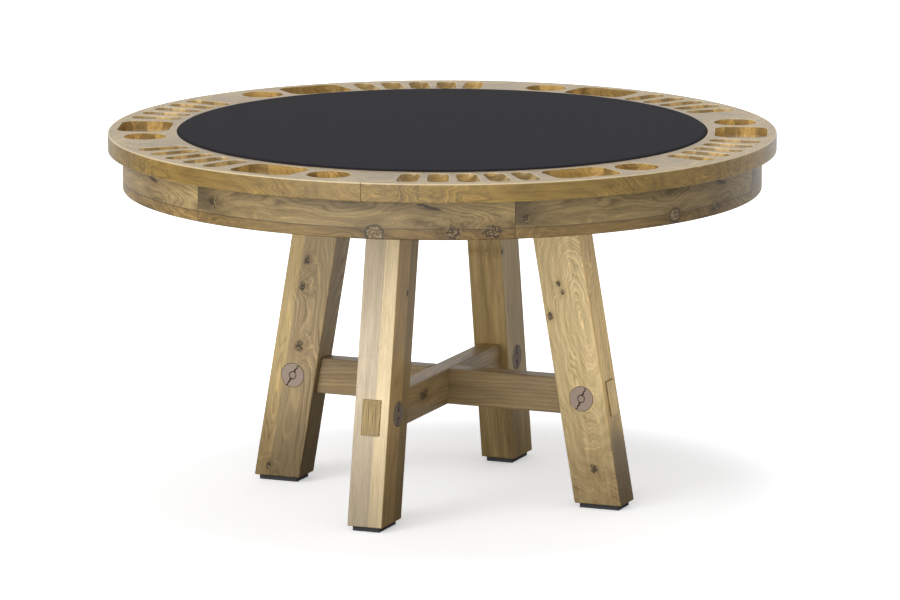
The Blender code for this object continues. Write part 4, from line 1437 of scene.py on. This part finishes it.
class BuildStage(bpy.types.Operator):
    """Pale floor, soft studio light and the camera"""
    bl_idname = "card_table.stage"
    bl_label = "Stage"

    def execute(self, context):
        scene = context.scene
        settings = scene.card_table_stage
        floor = show("floor", turned("floor", [(0, 0), (40, 0), (44, 4), (44, 40)], 96))
        floor.data.flip_normals()
        material, g, shader = new_material("floor_paint", 0.9, Specular_IOR_Level=0.1,
                                           Emission_Strength=settings.floor_glow)
        shader.inputs["Base Color"].default_value = (0.970 * settings.floor,
                                                     0.982 * settings.floor, settings.floor, 1.0)
        shader.inputs["Emission Color"].default_value = (0.992, 0.996, 1.0, 1.0)
        glow = g.remap(from_axis(g), 0.58, 1.0, settings.floor_glow, settings.floor_glow + 0.45)
        g.feed(glow, shader.inputs["Emission Strength"])
        floor.data.materials.append(material)
        # The table is lit from all round, so the floor takes its shadow and throws none back
        floor.visible_diffuse = False
        floor.visible_glossy = False
        floor.visible_shadow = False
        card = show("dark_card", turned("dark_card", [(0, -0.002), (settings.card_radius, -0.002),
                                                      (settings.card_radius, -0.004), (0, -0.004)],
                                        64))
        material, g, shader = new_material("dark_card", 0.9)
        shader.inputs["Base Color"].default_value = (0.12, 0.115, 0.11, 1.0)
        card.data.materials.append(material)
        scene.world = self.studio(settings)

        key = bpy.data.lights.new("key", "SUN")
        key.energy = settings.key
        key.angle = settings.key_softness
        key.color = (1.0, 0.995, 0.985)
        lamp = bpy.data.objects.new("key", key)
        low, round_to = settings.key_height, settings.key_heading
        towards = Vector((math.cos(low) * math.cos(round_to), math.cos(low) * math.sin(round_to),
                          math.sin(low)))
        lamp.rotation_euler = towards.to_track_quat("Z", "Y").to_euler()
        lamp.location = towards * 6
        scene.collection.objects.link(lamp)

        camera = bpy.data.cameras.new("camera")
        camera.lens = settings.lens
        camera.sensor_width = 36.0
        camera.clip_end = 200.0
        view = bpy.data.objects.new("camera", camera)
        view.location = settings.camera_place
        view.rotation_euler = (QUARTER - settings.camera_pitch, 0.0, settings.camera_heading)
        scene.collection.objects.link(view)
        scene.camera = view
        scene.view_settings.view_transform = "Standard"
        scene.view_settings.look = "None"
        return {"FINISHED"}

    @staticmethod
    def studio(settings):
        """White light from all round, with a wide light in front and a weaker one behind."""
        world = bpy.data.worlds.new("studio")
        world.use_nodes = True
        g = Wiring(world.node_tree)
        sky = world.node_tree.nodes["Background"]
        towards = g.vector("NORMALIZE", g.out("ShaderNodeTexCoord", output="Generated"))
        total = settings.sky
        for strength, heading, height, spread in (
                (settings.front, settings.front_heading, settings.front_height, 4.0),
                (settings.back, settings.back_heading, math.radians(4), 2.0),
                (settings.side, settings.side_heading, math.radians(8), 3.0)):
            centre = (math.cos(height) * math.cos(heading), math.cos(height) * math.sin(heading),
                      math.sin(height))
            lobe = g.math("MAXIMUM", g.vector("DOT_PRODUCT", towards, centre), 0.0) ** spread
            total = total + lobe * strength
        g.feed(total, sky.inputs["Strength"])
        sky.inputs["Color"].default_value = (1.0, 1.0, 1.0, 1.0)
        return world


class CardTablePanel(bpy.types.Panel):
    """Buttons for each step of the table"""
    bl_idname = "VIEW3D_PT_card_table"
    bl_label = "Card Table"
    bl_space_type = "VIEW_3D"
    bl_region_type = "UI"
    bl_category = "Card Table"

    def draw(self, context):
        for step in STEPS:
            self.layout.operator(step.bl_idname)
        for group in GROUPS:
            box = self.layout.box()
            settings = getattr(context.scene, group)
            for name in settings.bl_rna.properties.keys():
                if name not in ("rna_type", "name"):
                    box.prop(settings, name)


STEPS = (BuildStage, BuildRail, BuildApron, BuildLegs, BuildStretchers, BuildPegs, BuildFeet,
         BuildPanel, FinishHidden)
GROUPS = {
    "card_table_rail": RailSizes,
    "card_table_base": BaseSizes,
    "card_table_panel": PanelSizes,
    "card_table_colours": OakColours,
    "card_table_stage": StageSettings,
}


def register():
    for name, group in GROUPS.items():
        bpy.utils.register_class(group)
        setattr(bpy.types.Scene, name, PointerProperty(type=group))
    for step in STEPS:
        bpy.utils.register_class(step)
    bpy.utils.register_class(CardTablePanel)


def unregister():
    bpy.utils.unregister_class(CardTablePanel)
    for step in reversed(STEPS):
        bpy.utils.unregister_class(step)
    for name, group in GROUPS.items():
        delattr(bpy.types.Scene, name)
        bpy.utils.unregister_class(group)


def main():
    register()
    for step in STEPS:
        group, name = step.bl_idname.split(".")
        getattr(getattr(bpy.ops, group), name)()


if __name__ == "__main__":
    main()
